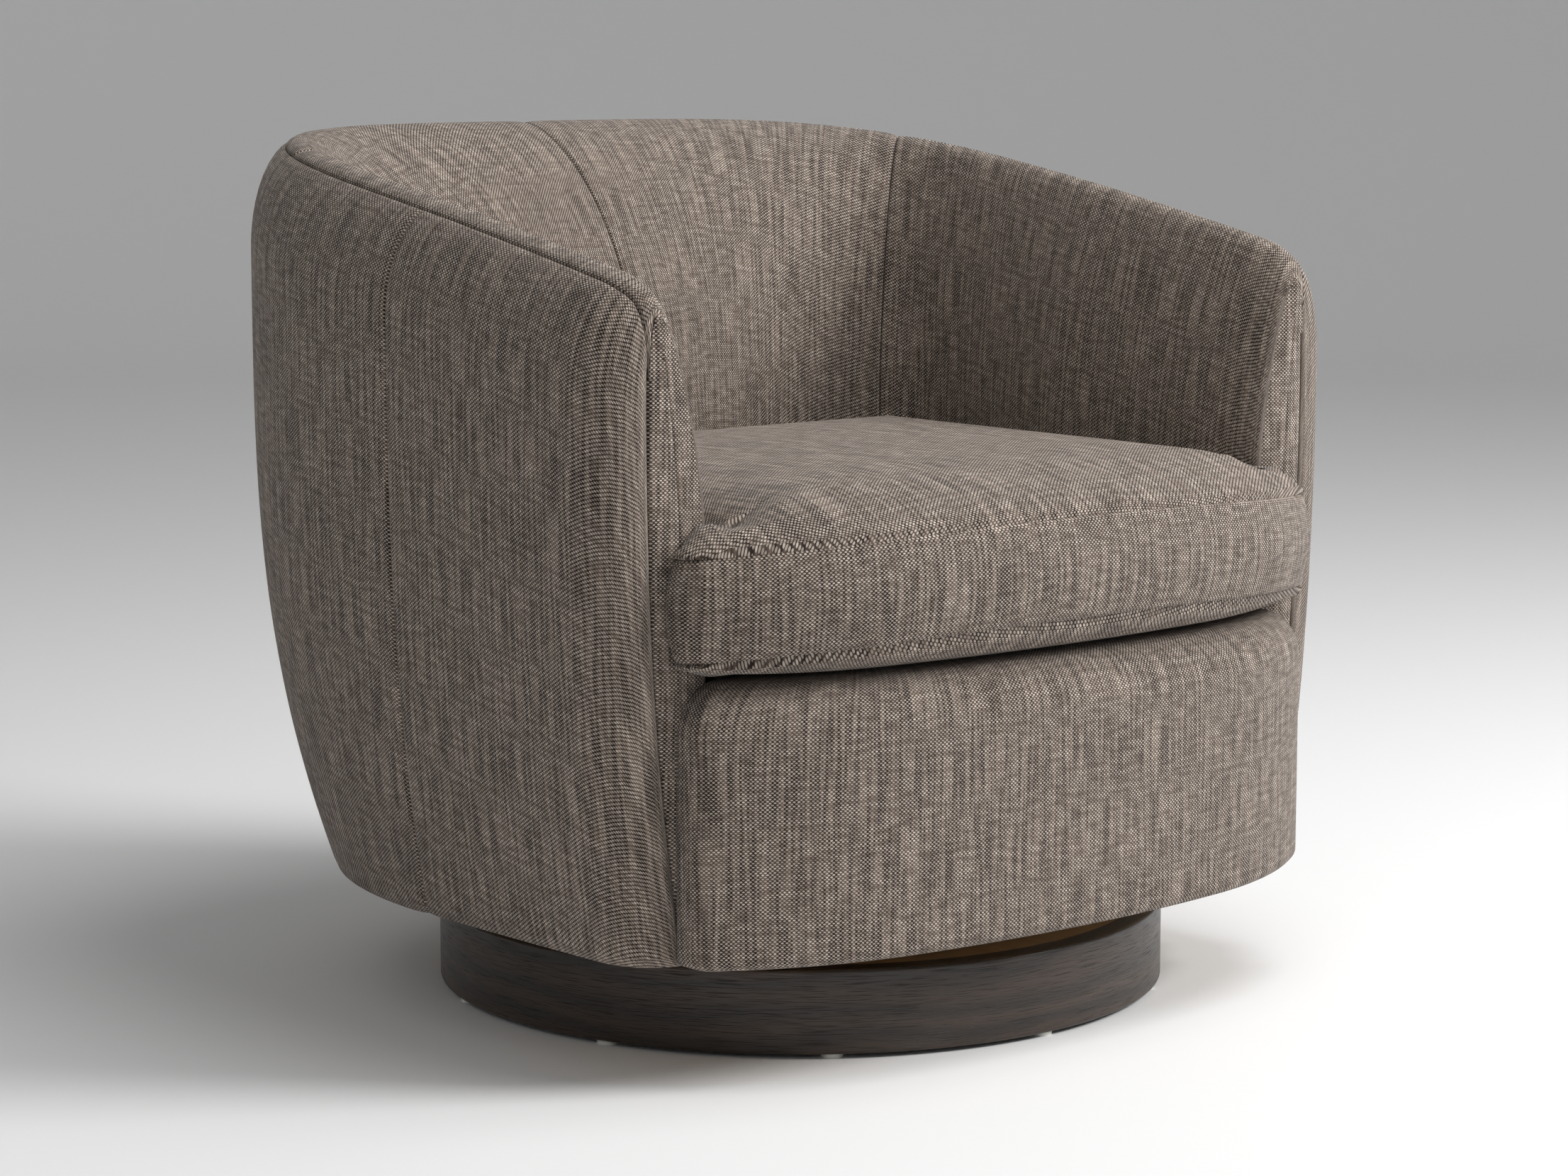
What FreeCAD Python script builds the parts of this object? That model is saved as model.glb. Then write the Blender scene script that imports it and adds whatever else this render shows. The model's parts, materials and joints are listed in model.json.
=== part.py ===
import FreeCAD, Part
import math
import os

from FreeCAD import Vector

# An upholstered swivel rocker: a barrel shell on a round oak plinth, with a loose T cushion.
# Millimetres. The floor is z = 0, the swivel axis is x = y = 0 and the seat faces -Y.

# Oak plinth and its glides
plinth_radius = 305.0
plinth_wall = 20.0
plinth_top = 71.3
plinth_edge_round = 2.5
board_recess = 11.3
board_thickness = 18.0
glide_count = 10
glide_height = 3.5
glide_radius = 9.0
glide_setback = 12.0
block_count = 6
block_length = 60.0
block_width = 22.0

# Upholstered shell: the outline at its widest, and how much it draws in at the hem
hem_height = 94.5
belly_height = 500.0
belly_half_width = 403.0
belly_depth = 435.0
belly_squareness = 2.85
hem_draw_side = 39.0
hem_draw_back = 56.0
hem_draw_squareness = 0.7
hem_draw_share = 0.842
hem_draw_power = 2.2
hem_round = 9.0
top_draw = 6.0
arm_taper = 4.0

# Crest line, where the shell is highest
crest_half_width = 345.0
crest_depth = 381.0
crest_squareness = 3.5
crest_back_height = 711.0
crest_front_height = 617.0
crest_front_y = -200.0
crest_fall_power = 1.33
roll_height = 90.0

# Seat well inside the shell
well_half_width = 290.0
well_depth = 205.0
well_squareness = 9.8

# Arm fronts
arm_front = -240.0
arm_front_round = 45.0

# Upholstery layers
cover_thickness = 8.0
inside_padding = 32.0
crest_padding = 28.0
arm_front_padding = 25.0
hem_lip = 24.0
corner_seam_angle = 36.3
side_seam_y = 30.0
deck_height = 310.5
inside_panel_bottom = 289.0

# Front panel and its board
front_half_width = 330.0
front_centre_y = -343.0
front_bow_radius = 1150.0
front_bow_half = 170.0
front_corner_radius = 360.0
front_panel_padding = 14.0
front_top_round = 40.0
shoulder_chamfer = 14.0
board_half_width = 286.0
front_board_thickness = 18.0
front_board_top = 268.0

# Plywood frame
ply = 18.0
rail_band = 35.0
belly_rail_height = 430.0
arm_front_rib_y = -206.0
arm_mid_rib_y = -60.0
rear_rib_angles = (56.0, 76.0)
seat_rail_top = 284.0
seat_rail_height = 39.0
seat_rail_back_y = 170.0
webbing_thickness = 2.0
webbing_width = 50.0
webbing_count = 5
webbing_pitch = 88.0

# Rock and swivel mechanism
rock_limit = 5.0
pivot_height = 140.0
pin_radius = 8.0
pin_clearance = 0.05
bush_wall = 3.0
ear_thickness = 6.0
ear_inner_x = 80.0
hanger_thickness = 4.0
mech_rail_inner_x = 105.0
mech_rail_width = 40.0
mech_rail_height = 35.0
bearing_radius = 78.0
bearing_width = 12.0
bearing_height = 9.0
plate_half = 95.0
plate_thickness = 3.0
kingpin_radius = 10.0
cradle_half_y = 135.0
cradle_half_x = 145.0
spring_y = 75.0
spring_radius = 13.0
spring_wire = 3.0
spring_turns = 3
spring_steps = 8
stop_y = 118.0
stop_radius = 11.0
stop_clearance = 0.6

# Loose seat cushion
cushion_clearance = 0.5
cushion_half_width = 286.5
cushion_back_y = 200.0
cushion_corner = 60.0
ear_half_width = 344.0
ear_back_y = -242.5
cushion_front_overhang = 2.0
cushion_front_edge = 415.0
cushion_rear_edge = 425.0
cushion_side_edge = 405.0
cushion_crown = 457.0
cushion_edge_round = 22.0
crown_fall = 8.0

# Panels: where the top and arm front seam lies, and the lip turned under the hem
seam_outlines = (
    (60.0, (325.0, 360.0, 2.6)),
    (200.0, (347.0, 385.0, 3.0)),
    (420.0, (360.5, 400.0, 3.4)),
    (800.0, (366.5, 402.0, 3.5)),
)
seam_front = -300.0
lip_outline = (337.0, 352.0, 2.3)
lip_front = -206.0
seat_space_outline = (323.5, 238.5, 9.8)
panel_back_y = -240.4

# Frame pieces under the cover
ring_outline = (349.0, 367.0, 2.3)
ring_hole = (235.0, 260.0, 2.3)
ring_hole_front = -230.0
mech_rail_front = -300.0
mech_rail_back = 330.0
belly_inner = (360.0, 392.0, 3.2)
crest_marks = (420.0, 300.0, 180.0, 60.0, -60.0, -160.0, -260.0)
crest_band_outer = (362.0, 398.0, 3.5)
crest_band_inner = (328.0, 364.0, 3.5)
front_rail_back = -190.0
core_inner_half = 321.5
core_inner_depth = 234.5
back_rail_half = 250.0
seat_rail_back_front = 203.0
webbing_centre_y = -3.0
web_end_x = 300.0
deck_half = 288.0
deck_back_y = 203.0
hanger_half_y = 30.0
hanger_top = 162.0
hanger_boss = 12.0
bush_flange = 2.0

# Small clearance between pieces that are built separately
fit_gap = 0.3


def superellipse_radius(angle, half_width, depth, exponent):
    """Distance from the swivel axis to a superellipse along a ray at this angle, in radians."""
    across = abs(math.cos(angle)) / half_width
    back = abs(math.sin(angle)) / depth
    return (across ** exponent + back ** exponent) ** (-1.0 / exponent)


def outline_at(height):
    """Half width, back depth and squareness of the shell's outside at a height."""
    below = max(belly_height - height, 0.0) / (belly_height - hem_height)
    above = max(height - belly_height, 0.0) / (crest_back_height - belly_height)
    drawn = hem_draw_share * below ** hem_draw_power
    side = belly_half_width - hem_draw_side * drawn - top_draw * above ** 2
    back = belly_depth - hem_draw_back * drawn - top_draw * above ** 2
    return side, back, belly_squareness - hem_draw_squareness * drawn


def crest_height(y):
    """Height of the crest line, which falls from the back towards the arm fronts."""
    run = (crest_depth - y) / (crest_depth - crest_front_y)
    return crest_back_height - (crest_back_height - crest_front_height) * max(run, 0.0) ** crest_fall_power


def front_point(x, offset):
    """A point of the bowed front line, which is one wide arc and two tighter arcs tangent to it."""
    turn = math.asin(front_bow_half / front_bow_radius)
    reach = front_bow_radius - front_corner_radius
    if abs(x) <= (front_bow_radius - offset) * math.sin(turn):
        radius = front_bow_radius - offset
        centre = (0.0, front_centre_y + front_bow_radius)
    else:
        radius = front_corner_radius - offset
        centre = (math.copysign(reach * math.sin(turn), x),
                  front_centre_y + front_bow_radius - reach * math.cos(turn))
    return centre[1] - math.sqrt(radius ** 2 - (x - centre[0]) ** 2)


class Station:
    """An upright section plane through the shell: across an arm, or along a ray round the back."""

    def __init__(self, side, y=None, angle=None):
        self.side = side
        self.y = y
        self.angle = None if angle is None else math.radians(angle)

    def point(self, reach, height):
        if self.angle is None:
            return Vector(self.side * reach, self.y, height)
        return Vector(self.side * reach * math.cos(self.angle), reach * math.sin(self.angle), height)

    def reach(self, half_width, depth, exponent):
        if self.angle is None:
            return half_width
        return superellipse_radius(self.angle, half_width, depth, exponent)

    def outside(self, height):
        half_width, depth, exponent = outline_at(height)
        if self.angle is None:
            return half_width - arm_taper * (self.y / arm_front) ** 2
        return superellipse_radius(self.angle, half_width, depth, exponent)

    def crest(self):
        reach = self.reach(crest_half_width, crest_depth, crest_squareness)
        y = self.y if self.angle is None else reach * math.sin(self.angle)
        return reach, crest_height(y)

    def inside_foot(self):
        return self.reach(well_half_width, well_depth, well_squareness)


# Where the section planes stand, and the points of each section
ray_angles = (0.0, 12.0, 22.0, 30.0, corner_seam_angle, 43.0, 53.0, 65.0, 77.0)
arm_stations = (-195.0, -110.0)
core_ray_angles = (0.0, 19.0, corner_seam_angle, 55.0, 72.0)
end_turns = (90.0, 60.0, 30.0, 0.0)
core_end_turns = (90.0, 45.0, 0.0)
inside_round_share = 0.3
top_round_share = 0.5
outside_handle = 0.35
roll_handle = 0.5523
crest_handle_arm = 0.39
crest_handle_back = 0.34
foot_handle_arm = 0.31
foot_handle_back = 0.66
inside_foot_height = 420.0
core_marks = ((0, 0.4), (0, 1.0), (1, 0.5), (1, 1.0), (2, 0.33), (2, 0.66), (2, 1.0))


class Inset:
    """How far a skin of the shell lies inside its outermost surface, and the height it starts from."""

    def __init__(self, outside, inside, top, front, bottom):
        self.outside = outside
        self.inside = inside
        self.top = top
        self.front = front
        self.bottom = bottom


cover_skin = Inset(0.0, 0.0, 0.0, 0.0, hem_height)
core_skin = Inset(cover_thickness, inside_padding, crest_padding, arm_front_padding,
                  hem_height + cover_thickness)


def section_curves(station, inset, drawn):
    """The outside, the roll and the inside of the wall in one section plane, each as a cubic curve."""
    crest_reach, top = station.crest()
    low = inset.bottom + hem_round
    roll_start = top - roll_height
    crest_top = top - inset.top - top_round_share * drawn
    out = inset.outside + drawn
    hem = station.outside(low) - out
    slope = station.outside(low + 1.0) - station.outside(low)
    edge = station.outside(roll_start) - out
    climb = outside_handle * (roll_start - low)
    outside = [(hem, low), (hem + slope * climb, low + climb), (edge, roll_start - climb), (edge, roll_start)]
    roll = [
        (edge, roll_start),
        (edge, roll_start + roll_handle * (crest_top - roll_start)),
        (crest_reach + roll_handle * (edge - crest_reach), crest_top),
        (crest_reach, crest_top),
    ]
    backward = (top - crest_front_height) / (crest_back_height - crest_front_height)
    crest_handle = crest_handle_arm + (crest_handle_back - crest_handle_arm) * backward
    foot_handle = foot_handle_arm + (foot_handle_back - foot_handle_arm) * backward
    foot = station.inside_foot() + inset.inside + inside_round_share * drawn
    inside = [
        (crest_reach, crest_top),
        (crest_reach - crest_handle * (crest_reach - foot), crest_top),
        (foot, inside_foot_height + foot_handle * (crest_top - inside_foot_height)),
        (foot, inside_foot_height),
    ]
    curves = []
    for poles in (outside, roll, inside):
        curve = Part.BezierCurve()
        curve.setPoles([station.point(reach, height) for reach, height in poles])
        curves.append(curve)
    return curves, hem, foot


def smooth_section(station, inset, drawn):
    """A closed section: hem round, outside, roll, inside, then straight down and along the bottom."""
    curves, hem, foot = section_curves(station, inset, drawn)
    corner = hem_round * (1.0 - math.sqrt(0.5))
    hem_low = station.point(hem - hem_round, inset.bottom)
    hem_middle = station.point(hem - corner, inset.bottom + corner)
    hem_high = station.point(hem, inset.bottom + hem_round)
    foot_high = station.point(foot, inside_foot_height)
    foot_low = station.point(foot, inset.bottom)
    edges = [Part.Arc(hem_low, hem_middle, hem_high).toShape()]
    edges += [curve.toShape() for curve in curves]
    edges += [Part.makeLine(foot_high, foot_low), Part.makeLine(foot_low, hem_low)]
    return Part.Wire(edges)


def sawn_section(station, inset, drawn):
    """The corners of a section of the core, which is sawn flat between a few points of the curves."""
    curves, hem, foot = section_curves(station, inset, drawn)
    corners = [station.point(hem - hem_round, inset.bottom)]
    corners += [curves[index].value(share) for index, share in core_marks]
    corners.append(station.point(foot, inset.bottom))
    return corners


def faceted_solid(sections, middle):
    """Flat three-cornered facets between closed sections; past the middle one they mirror the first half."""
    faces = [Part.Face(Part.makePolygon(sections[end] + sections[end][:1])) for end in (0, -1)]
    count = len(sections[0])
    for place, (before, after) in enumerate(zip(sections, sections[1:])):
        split = ((0, 1, 2), (0, 2, 3)) if place < middle else ((0, 1, 3), (1, 2, 3))
        for index in range(count):
            following = (index + 1) % count
            corners = [before[index], before[following], after[following], after[index]]
            for three in split:
                loop = [corners[k] for k in three]
                faces.append(Part.Face(Part.makePolygon(loop + loop[:1])))
    return Part.makeSolid(Part.makeShell(faces))


def sawn_loft(sections):
    return faceted_solid(sections, len(sections) // 2)


def smooth_loft(sections):
    return Part.makeLoft(sections, True, True)


def shell_solid(inset, turns, angles, section, loft):
    """The whole C-shaped wall of the barrel, with rounded arm fronts, lofted section by section."""
    back_of_round = arm_stations[0]
    front = arm_front + inset.front
    turn_radius = arm_front_round - inset.front
    sides = []
    for side in (1.0, -1.0):
        run = []
        for turn in turns:
            y = back_of_round + (front - back_of_round) * math.sin(math.radians(turn))
            drawn = turn_radius * (1.0 - math.cos(math.radians(turn)))
            run.append(section(Station(side, y=y), inset, drawn))
        for y in arm_stations[1:]:
            run.append(section(Station(side, y=y), inset, 0.0))
        for angle in angles:
            run.append(section(Station(side, angle=angle), inset, 0.0))
        sides.append(run)
    middle = section(Station(1.0, angle=90.0), inset, 0.0)
    return loft(sides[0] + [middle] + sides[1][::-1])


def plan_wire(half_width, depth, exponent, front, height):
    """A closed outline: straight across the front, straight sides and a back of two quarter curves."""
    handle = (8.0 * 0.5 ** (1.0 / exponent) - 4.0) / 3.0
    back = Vector(0, depth, height)
    edges = [Part.makeLine(Vector(-half_width, front, height), Vector(half_width, front, height))]
    for side in (1, -1):
        quarter = Part.BezierCurve()
        quarter.setPoles([
            Vector(side * half_width, 0, height),
            Vector(side * half_width, handle * depth, height),
            Vector(side * handle * half_width, depth, height),
            back,
        ])
        edges.append(Part.makeLine(Vector(side * half_width, front, height), Vector(side * half_width, 0, height)))
        edges.append(quarter.toShape())
    return Part.Wire([edges[0], edges[1], edges[2], edges[4], edges[3]])


def prism(wire, height):
    return Part.Face(wire).extrude(Vector(0, 0, height))


def box(x0, y0, z0, x1, y1, z1):
    return Part.makeBox(x1 - x0, y1 - y0, z1 - z0, Vector(x0, y0, z0))


def post(x, y, z0, z1, radius):
    return Part.makeCylinder(radius, z1 - z0, Vector(x, y, z0))


def hexagon(x, y, z0, height, radius):
    corners = [Vector(x + radius * math.cos(math.radians(60 * k)), y + radius * math.sin(math.radians(60 * k)), z0)
               for k in range(6)]
    return prism(Part.makePolygon(corners + corners[:1]), height)


def tube(z0, z1, outer, inner):
    return post(0, 0, z0, z1, outer).cut(post(0, 0, z0 - 1, z1 + 1, inner))


def wedge(start, end, reach=900.0):
    """A tall slice about the swivel axis between two ray angles in degrees, under 180 apart."""
    middle = math.radians((start + end) / 2.0)
    corners = [Vector(0, 0, 0)]
    for angle in (math.radians(start), middle, math.radians(end)):
        corners.append(Vector(reach * math.cos(angle), reach * math.sin(angle), 0))
    return prism(Part.makePolygon(corners + corners[:1]), reach)


def front_region(offset, half_width, back_y, bottom, height):
    """A block with the bowed front, drawn back by an offset, and a straight back."""
    joint = (front_bow_radius - offset) * front_bow_half / front_bow_radius
    marks = [-half_width, -(half_width + joint) / 2.0, -joint, 0.0, joint, (half_width + joint) / 2.0, half_width]
    line = [Vector(x, front_point(x, offset), bottom) for x in marks]
    right = Vector(half_width, back_y, bottom)
    left = Vector(-half_width, back_y, bottom)
    edges = [Part.Arc(*line[index:index + 3]).toShape() for index in (0, 2, 4)]
    edges += [Part.makeLine(line[-1], right), Part.makeLine(right, left), Part.makeLine(left, line[0])]
    return prism(Part.Wire(edges), height)


def edges_where(shape, test):
    return [edge for edge in shape.Edges if test(edge.BoundBox)]


def mirror_x(shape):
    return shape.mirror(Vector(0, 0, 0), Vector(1, 0, 0))


def group(solids):
    return Part.makeCompound(solids)


def largest(shape):
    """The main solid of a cut shape, without the slivers that a seam leaves beside it."""
    return max(shape.Solids, key=lambda solid: solid.Volume)


def save(name, shape):
    shape.exportStep(os.path.join("parts", name + ".step"))


def both_sides(name, shape):
    """Saves the right piece and its mirror image for the left."""
    save(name + "_right", shape)
    save(name + "_left", mirror_x(shape))


def make_plinth():
    """Bent oak hoop, recessed board, glue blocks and floor glides."""
    ring = tube(glide_height, plinth_top, plinth_radius, plinth_radius - plinth_wall)
    rims = edges_where(ring, lambda b: b.ZLength < 0.01 and b.XLength > 2 * plinth_radius - 1)
    save("plinth_ring", ring.makeChamfer(plinth_edge_round, rims))
    board_top = plinth_top - board_recess
    board = post(0, 0, board_top - board_thickness, board_top, plinth_radius - plinth_wall)
    screws_at = plate_half - 15.0
    for x in (-screws_at, screws_at):
        for y in (-screws_at, screws_at):
            board = board.cut(post(x, y, board_top - board_thickness - 1, board_top + 1, 3.0))
    save("plinth_top_board", board)
    blocks = []
    inner = plinth_radius - plinth_wall
    for index in range(block_count):
        block = box(-block_length / 2, 0, glide_height, block_length / 2, block_width, board_top - board_thickness)
        block.translate(Vector(0, inner - block_width - 2.5, 0))
        block = block.fuse(
            box(-block_length / 2, inner - block_width, glide_height, block_length / 2, inner, board_top - board_thickness)
        )
        block = block.common(post(0, 0, 0, plinth_top, inner)).removeSplitter()
        block.rotate(Vector(0, 0, 0), Vector(0, 0, 1), 360.0 * index / block_count + 18.0)
        blocks.append(block)
    save("plinth_glue_blocks", group(blocks))
    glides = []
    for index in range(glide_count):
        turn = math.radians(360.0 * index / glide_count - 90.0)
        reach = plinth_radius - glide_setback
        x, y = reach * math.cos(turn), reach * math.sin(turn)
        glides.append(post(x, y, 0.0, glide_height, glide_radius))
    save("floor_glides", group(glides))


def make_swivel():
    """Pressed plates and an acetal ring that turn on a kingpin."""
    low = plinth_top - board_recess
    screws_at = plate_half - 15.0
    lower = box(-plate_half, -plate_half, low, plate_half, plate_half, low + plate_thickness)
    uprights = edges_where(lower, lambda b: b.ZLength > plate_thickness - 0.01)
    lower = lower.makeFillet(14.0, uprights)
    race = tube(low + plate_thickness, low + plate_thickness + 4.0, bearing_radius + bearing_width / 2 + 3.0,
                bearing_radius + bearing_width / 2)
    lower = lower.fuse(race).cut(post(0, 0, low - 1, low + 20, kingpin_radius - 2.0))
    heads = []
    for x in (-screws_at, screws_at):
        for y in (-screws_at, screws_at):
            lower = lower.cut(post(x, y, low - 1, low + plate_thickness + 1, 3.0))
            shank = post(x, y, low - board_thickness + 3.0, low + plate_thickness, 2.9)
            heads.append(shank.fuse(hexagon(x, y, low + plate_thickness, 2.5, 5.5)).removeSplitter())
    save("swivel_lower_plate", lower)
    save("swivel_plate_screws", group(heads))
    ring_low = low + plate_thickness
    ring_top = ring_low + bearing_height
    save("swivel_bearing_ring", tube(ring_low, ring_top, bearing_radius + bearing_width / 2 - fit_gap,
                                     bearing_radius - bearing_width / 2))
    upper_low = ring_top
    upper_top = upper_low + plate_thickness
    pin_seat = kingpin_radius + pin_clearance
    upper = post(0, 0, upper_low, upper_top, plate_half)
    collar = tube(upper_top, upper_top + 3.0, kingpin_radius + 8.0, pin_seat)
    upper = upper.cut(post(0, 0, upper_low - 1, upper_top + 1, pin_seat)).fuse(collar)
    save("swivel_upper_plate", upper.removeSplitter())
    pin = post(0, 0, low, upper_top + 3.4, kingpin_radius)
    pin = pin.fuse(post(0, 0, low + plate_thickness, ring_top - fit_gap, kingpin_radius + 5.0))
    pin = pin.cut(post(0, 0, low, low + plate_thickness, kingpin_radius).cut(
        post(0, 0, low, low + plate_thickness, kingpin_radius - 2.0)))
    save("kingpin", pin.removeSplitter())
    save("kingpin_nut", hexagon(0, 0, upper_top + 3.4, 7.0, 15.0))
    return upper_top


def make_cradle(seat_z, rail_underside):
    """Steel rocker cradle on the swivel plate, with its bushes, springs and rubber stops."""
    top = seat_z + plate_thickness
    base = box(-cradle_half_x, -cradle_half_y, seat_z, cradle_half_x, cradle_half_y, top)
    base = base.makeFillet(20.0, edges_where(base, lambda b: b.ZLength > plate_thickness - 0.01))
    base = base.cut(post(0, 0, seat_z - 1, top + 1, 22.0))
    bush_radius = pin_radius + pin_clearance + bush_wall
    ear_profile = [
        Vector(ear_inner_x, -45.0, top),
        Vector(ear_inner_x, 45.0, top),
        Vector(ear_inner_x, 18.0, pivot_height),
        Vector(ear_inner_x, -18.0, pivot_height),
        Vector(ear_inner_x, -45.0, top),
    ]
    ear = Part.Face(Part.makePolygon(ear_profile)).extrude(Vector(ear_thickness, 0, 0))
    crown = Part.makeCylinder(18.0, ear_thickness, Vector(ear_inner_x, 0, pivot_height), Vector(1, 0, 0))
    ear = ear.fuse(crown)
    ear = ear.cut(Part.makeCylinder(bush_radius, ear_thickness + 2, Vector(ear_inner_x - 1, 0, pivot_height),
                                    Vector(1, 0, 0)))
    cradle = base.fuse(ear).fuse(mirror_x(ear)).removeSplitter()
    bolts = []
    for turn in (45, 135, 225, 315):
        x = 60.0 * math.cos(math.radians(turn))
        y = 60.0 * math.sin(math.radians(turn))
        cradle = cradle.cut(post(x, y, seat_z - 1, top + 1, 4.0))
        bolts.append(hexagon(x, y, top, 5.0, 7.5).fuse(post(x, y, seat_z, top, 4.0)).removeSplitter())
    save("rocker_cradle", cradle)
    save("cradle_bolts", group(bolts))
    bushes = []
    for side in (1, -1):
        start = Vector(side * ear_inner_x, 0, pivot_height)
        way = Vector(side, 0, 0)
        sleeve = Part.makeCylinder(bush_radius, ear_thickness, start, way)
        flange = Part.makeCylinder(bush_radius + 3.0, 2.0, start + way * ear_thickness, way)
        bore = Part.makeCylinder(pin_radius + pin_clearance, ear_thickness + 4.0, start - way, way)
        bushes.append(sleeve.fuse(flange).cut(bore).removeSplitter())
    save("pivot_bushes", group(bushes))
    spring_x = mech_rail_inner_x + mech_rail_width / 2.0
    for name, y in (("rocker_springs_front", -spring_y), ("rocker_springs_rear", spring_y)):
        coils = [coil_spring(side * spring_x, y, top, rail_underside) for side in (1, -1)]
        save(name, group(coils))
    drop = (stop_y + stop_radius) * math.sin(math.radians(rock_limit))
    stop_top = rail_underside - drop - stop_clearance
    stops = [post(x, y, top, stop_top, stop_radius) for x in (-spring_x, spring_x) for y in (-stop_y, stop_y)]
    save("rock_stops", group(stops))


def coil_spring(x, y, low, high):
    """A compression coil of square wire: one closed turn at each end and open turns between them."""
    closed_pitch = spring_wire + 0.1
    open_pitch = (high - low - spring_wire - 2.0 * closed_pitch) / spring_turns
    total = (spring_turns + 2) * spring_steps
    half = spring_wire / 2.0
    height = low + half
    sections = []
    for step in range(total + 1):
        turn = 2.0 * math.pi * step / spring_steps
        outward = Vector(math.cos(turn), math.sin(turn), 0)
        centre = Vector(x, y, height) + outward * spring_radius
        up = Vector(0, 0, half)
        side = outward * half
        sections.append([centre - side - up, centre + side - up, centre + side + up, centre - side + up])
        closed = step < spring_steps or step >= total - spring_steps
        height += (closed_pitch if closed else open_pitch) / spring_steps
    return faceted_solid(sections, total)


def seam_block():
    """Everything inboard of the seam that runs round the top and down the arm fronts."""
    sections = [plan_wire(*outline, seam_front, height) for height, outline in seam_outlines]
    return Part.makeLoft(sections, True, True)


def make_upholstery():
    """The padded cover as sewn panels, and the hollow core that the frame fills."""
    cover = shell_solid(cover_skin, end_turns, ray_angles, smooth_section, smooth_loft)
    core = shell_solid(core_skin, core_end_turns, core_ray_angles, sawn_section, sawn_loft)
    padding = cover.cut(core)
    padding = padding.cut(prism(plan_wire(*lip_outline, lip_front, 0.0), inside_panel_bottom))
    seat_space = prism(plan_wire(*seat_space_outline, lip_front, core_skin.bottom),
                       inside_panel_bottom - core_skin.bottom)
    padding = padding.cut(seat_space)
    block = seam_block().cut(box(-900, lip_front, 0, 900, 900, inside_panel_bottom))
    inner = padding.common(block)
    outer = padding.cut(block)
    back_slice = wedge(corner_seam_angle, 180.0 - corner_seam_angle)
    front_half = box(-900, -900, 0, 900, side_seam_y, 900)
    right_half = box(0, -900, 0, 900, 900, 900)
    both_sides("inside_arm", largest(inner.cut(back_slice).common(right_half)))
    both_sides("inside_back", largest(inner.common(back_slice).common(right_half)))
    both_sides("outside_arm", largest(outer.common(front_half).common(right_half)))
    save("outside_back", largest(outer.cut(front_half)))
    return cover, core


def make_front():
    """The padded front panel below the cushion, and the plywood board it is drawn over."""
    panel = front_region(0.0, front_half_width, panel_back_y, hem_height, deck_height - hem_height)
    top_front = edges_where(panel, lambda b: b.ZMin > deck_height - 0.1 and b.YMin < front_centre_y + 1)
    panel = panel.makeFillet(front_top_round, top_front)
    bottom_front = edges_where(panel, lambda b: b.ZMax < hem_height + 0.1 and b.YMin < front_centre_y + 1)
    panel = panel.makeFillet(hem_round, bottom_front)
    hollow_top = deck_height - front_panel_padding
    hollow = front_region(front_panel_padding, board_half_width, panel_back_y + 50.0, hem_height - 1.0,
                          hollow_top - hem_height + 1.0)
    shoulder = edges_where(hollow, lambda b: b.ZMin > hollow_top - 0.1 and b.YMax < panel_back_y)
    hollow = hollow.makeChamfer(shoulder_chamfer, shoulder)
    save("front_panel", panel.cut(hollow))
    low = hem_height + cover_thickness
    behind = front_panel_padding + front_board_thickness
    board_front = front_region(front_panel_padding, board_half_width, panel_back_y, low, front_board_top - low)
    board_back = front_region(behind, board_half_width + 1.0, panel_back_y + 1.0, low - 1.0,
                              front_board_top - low + 2.0)
    save("front_board", board_front.cut(board_back))
    return low, behind


def make_frame(cover, core, floor, behind_board):
    """Base ring, plywood ribs and rails, corner blocks, webbing and deck inside the upholstery."""
    floor_top = floor + ply
    ring_front = front_region(behind_board, board_half_width, arm_front_rib_y, floor, ply)
    ring = ring_front.fuse(prism(plan_wire(*ring_outline, lip_front, floor), ply))
    hole = prism(plan_wire(*ring_hole, ring_hole_front, floor - 1.0), ply + 2.0)
    save("base_ring", ring.cut(hole).removeSplitter())

    rail = box(mech_rail_inner_x, mech_rail_front, floor_top, mech_rail_inner_x + mech_rail_width,
               mech_rail_back, floor_top + mech_rail_height)
    both_sides("mechanism_rail", rail)
    make_hangers(floor_top)

    belly = core.common(box(-900, -900, belly_rail_height, 900, 900, belly_rail_height + ply))
    belly = belly.cut(prism(plan_wire(*belly_inner, -300.0, belly_rail_height - 1.0), ply + 2.0))
    belly = belly.cut(box(-900, -900, 0, 900, arm_front_rib_y, 900))
    save("belly_rail", belly)

    crest_line = [Vector(-900.0, y, crest_height(y) - crest_padding - ply) for y in crest_marks]
    ends = [Vector(-900.0, crest_marks[-1], 900.0), Vector(-900.0, crest_marks[0], 900.0)]
    above = Part.Face(Part.makePolygon(crest_line + ends + crest_line[:1])).extrude(Vector(1800, 0, 0))
    band = prism(plan_wire(*crest_band_outer, arm_front_rib_y, 400.0), 400.0)
    band = band.cut(prism(plan_wire(*crest_band_inner, arm_front_rib_y - 1.0, 400.0), 400.0))
    top_rail = core.common(band).common(above)
    save("top_rail", top_rail)

    taken = [belly, top_rail]
    for name, y in (("arm_front_rib", arm_front_rib_y), ("arm_middle_rib", arm_mid_rib_y)):
        slab = box(0, y - ply / 2.0, floor_top, 900, y + ply / 2.0, 900)
        save_rib(name, core.common(slab), taken)
    for name, angle in (("corner_rib", corner_seam_angle), ("back_side_rib", rear_rib_angles[0]),
                        ("back_rib", rear_rib_angles[1])):
        slab = box(0, -ply / 2.0, floor_top, 900, ply / 2.0, 900)
        slab.rotate(Vector(0, 0, 0), Vector(0, 0, 1), angle)
        save_rib(name, core.common(slab), taken)
    make_seat(cover, core)


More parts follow.
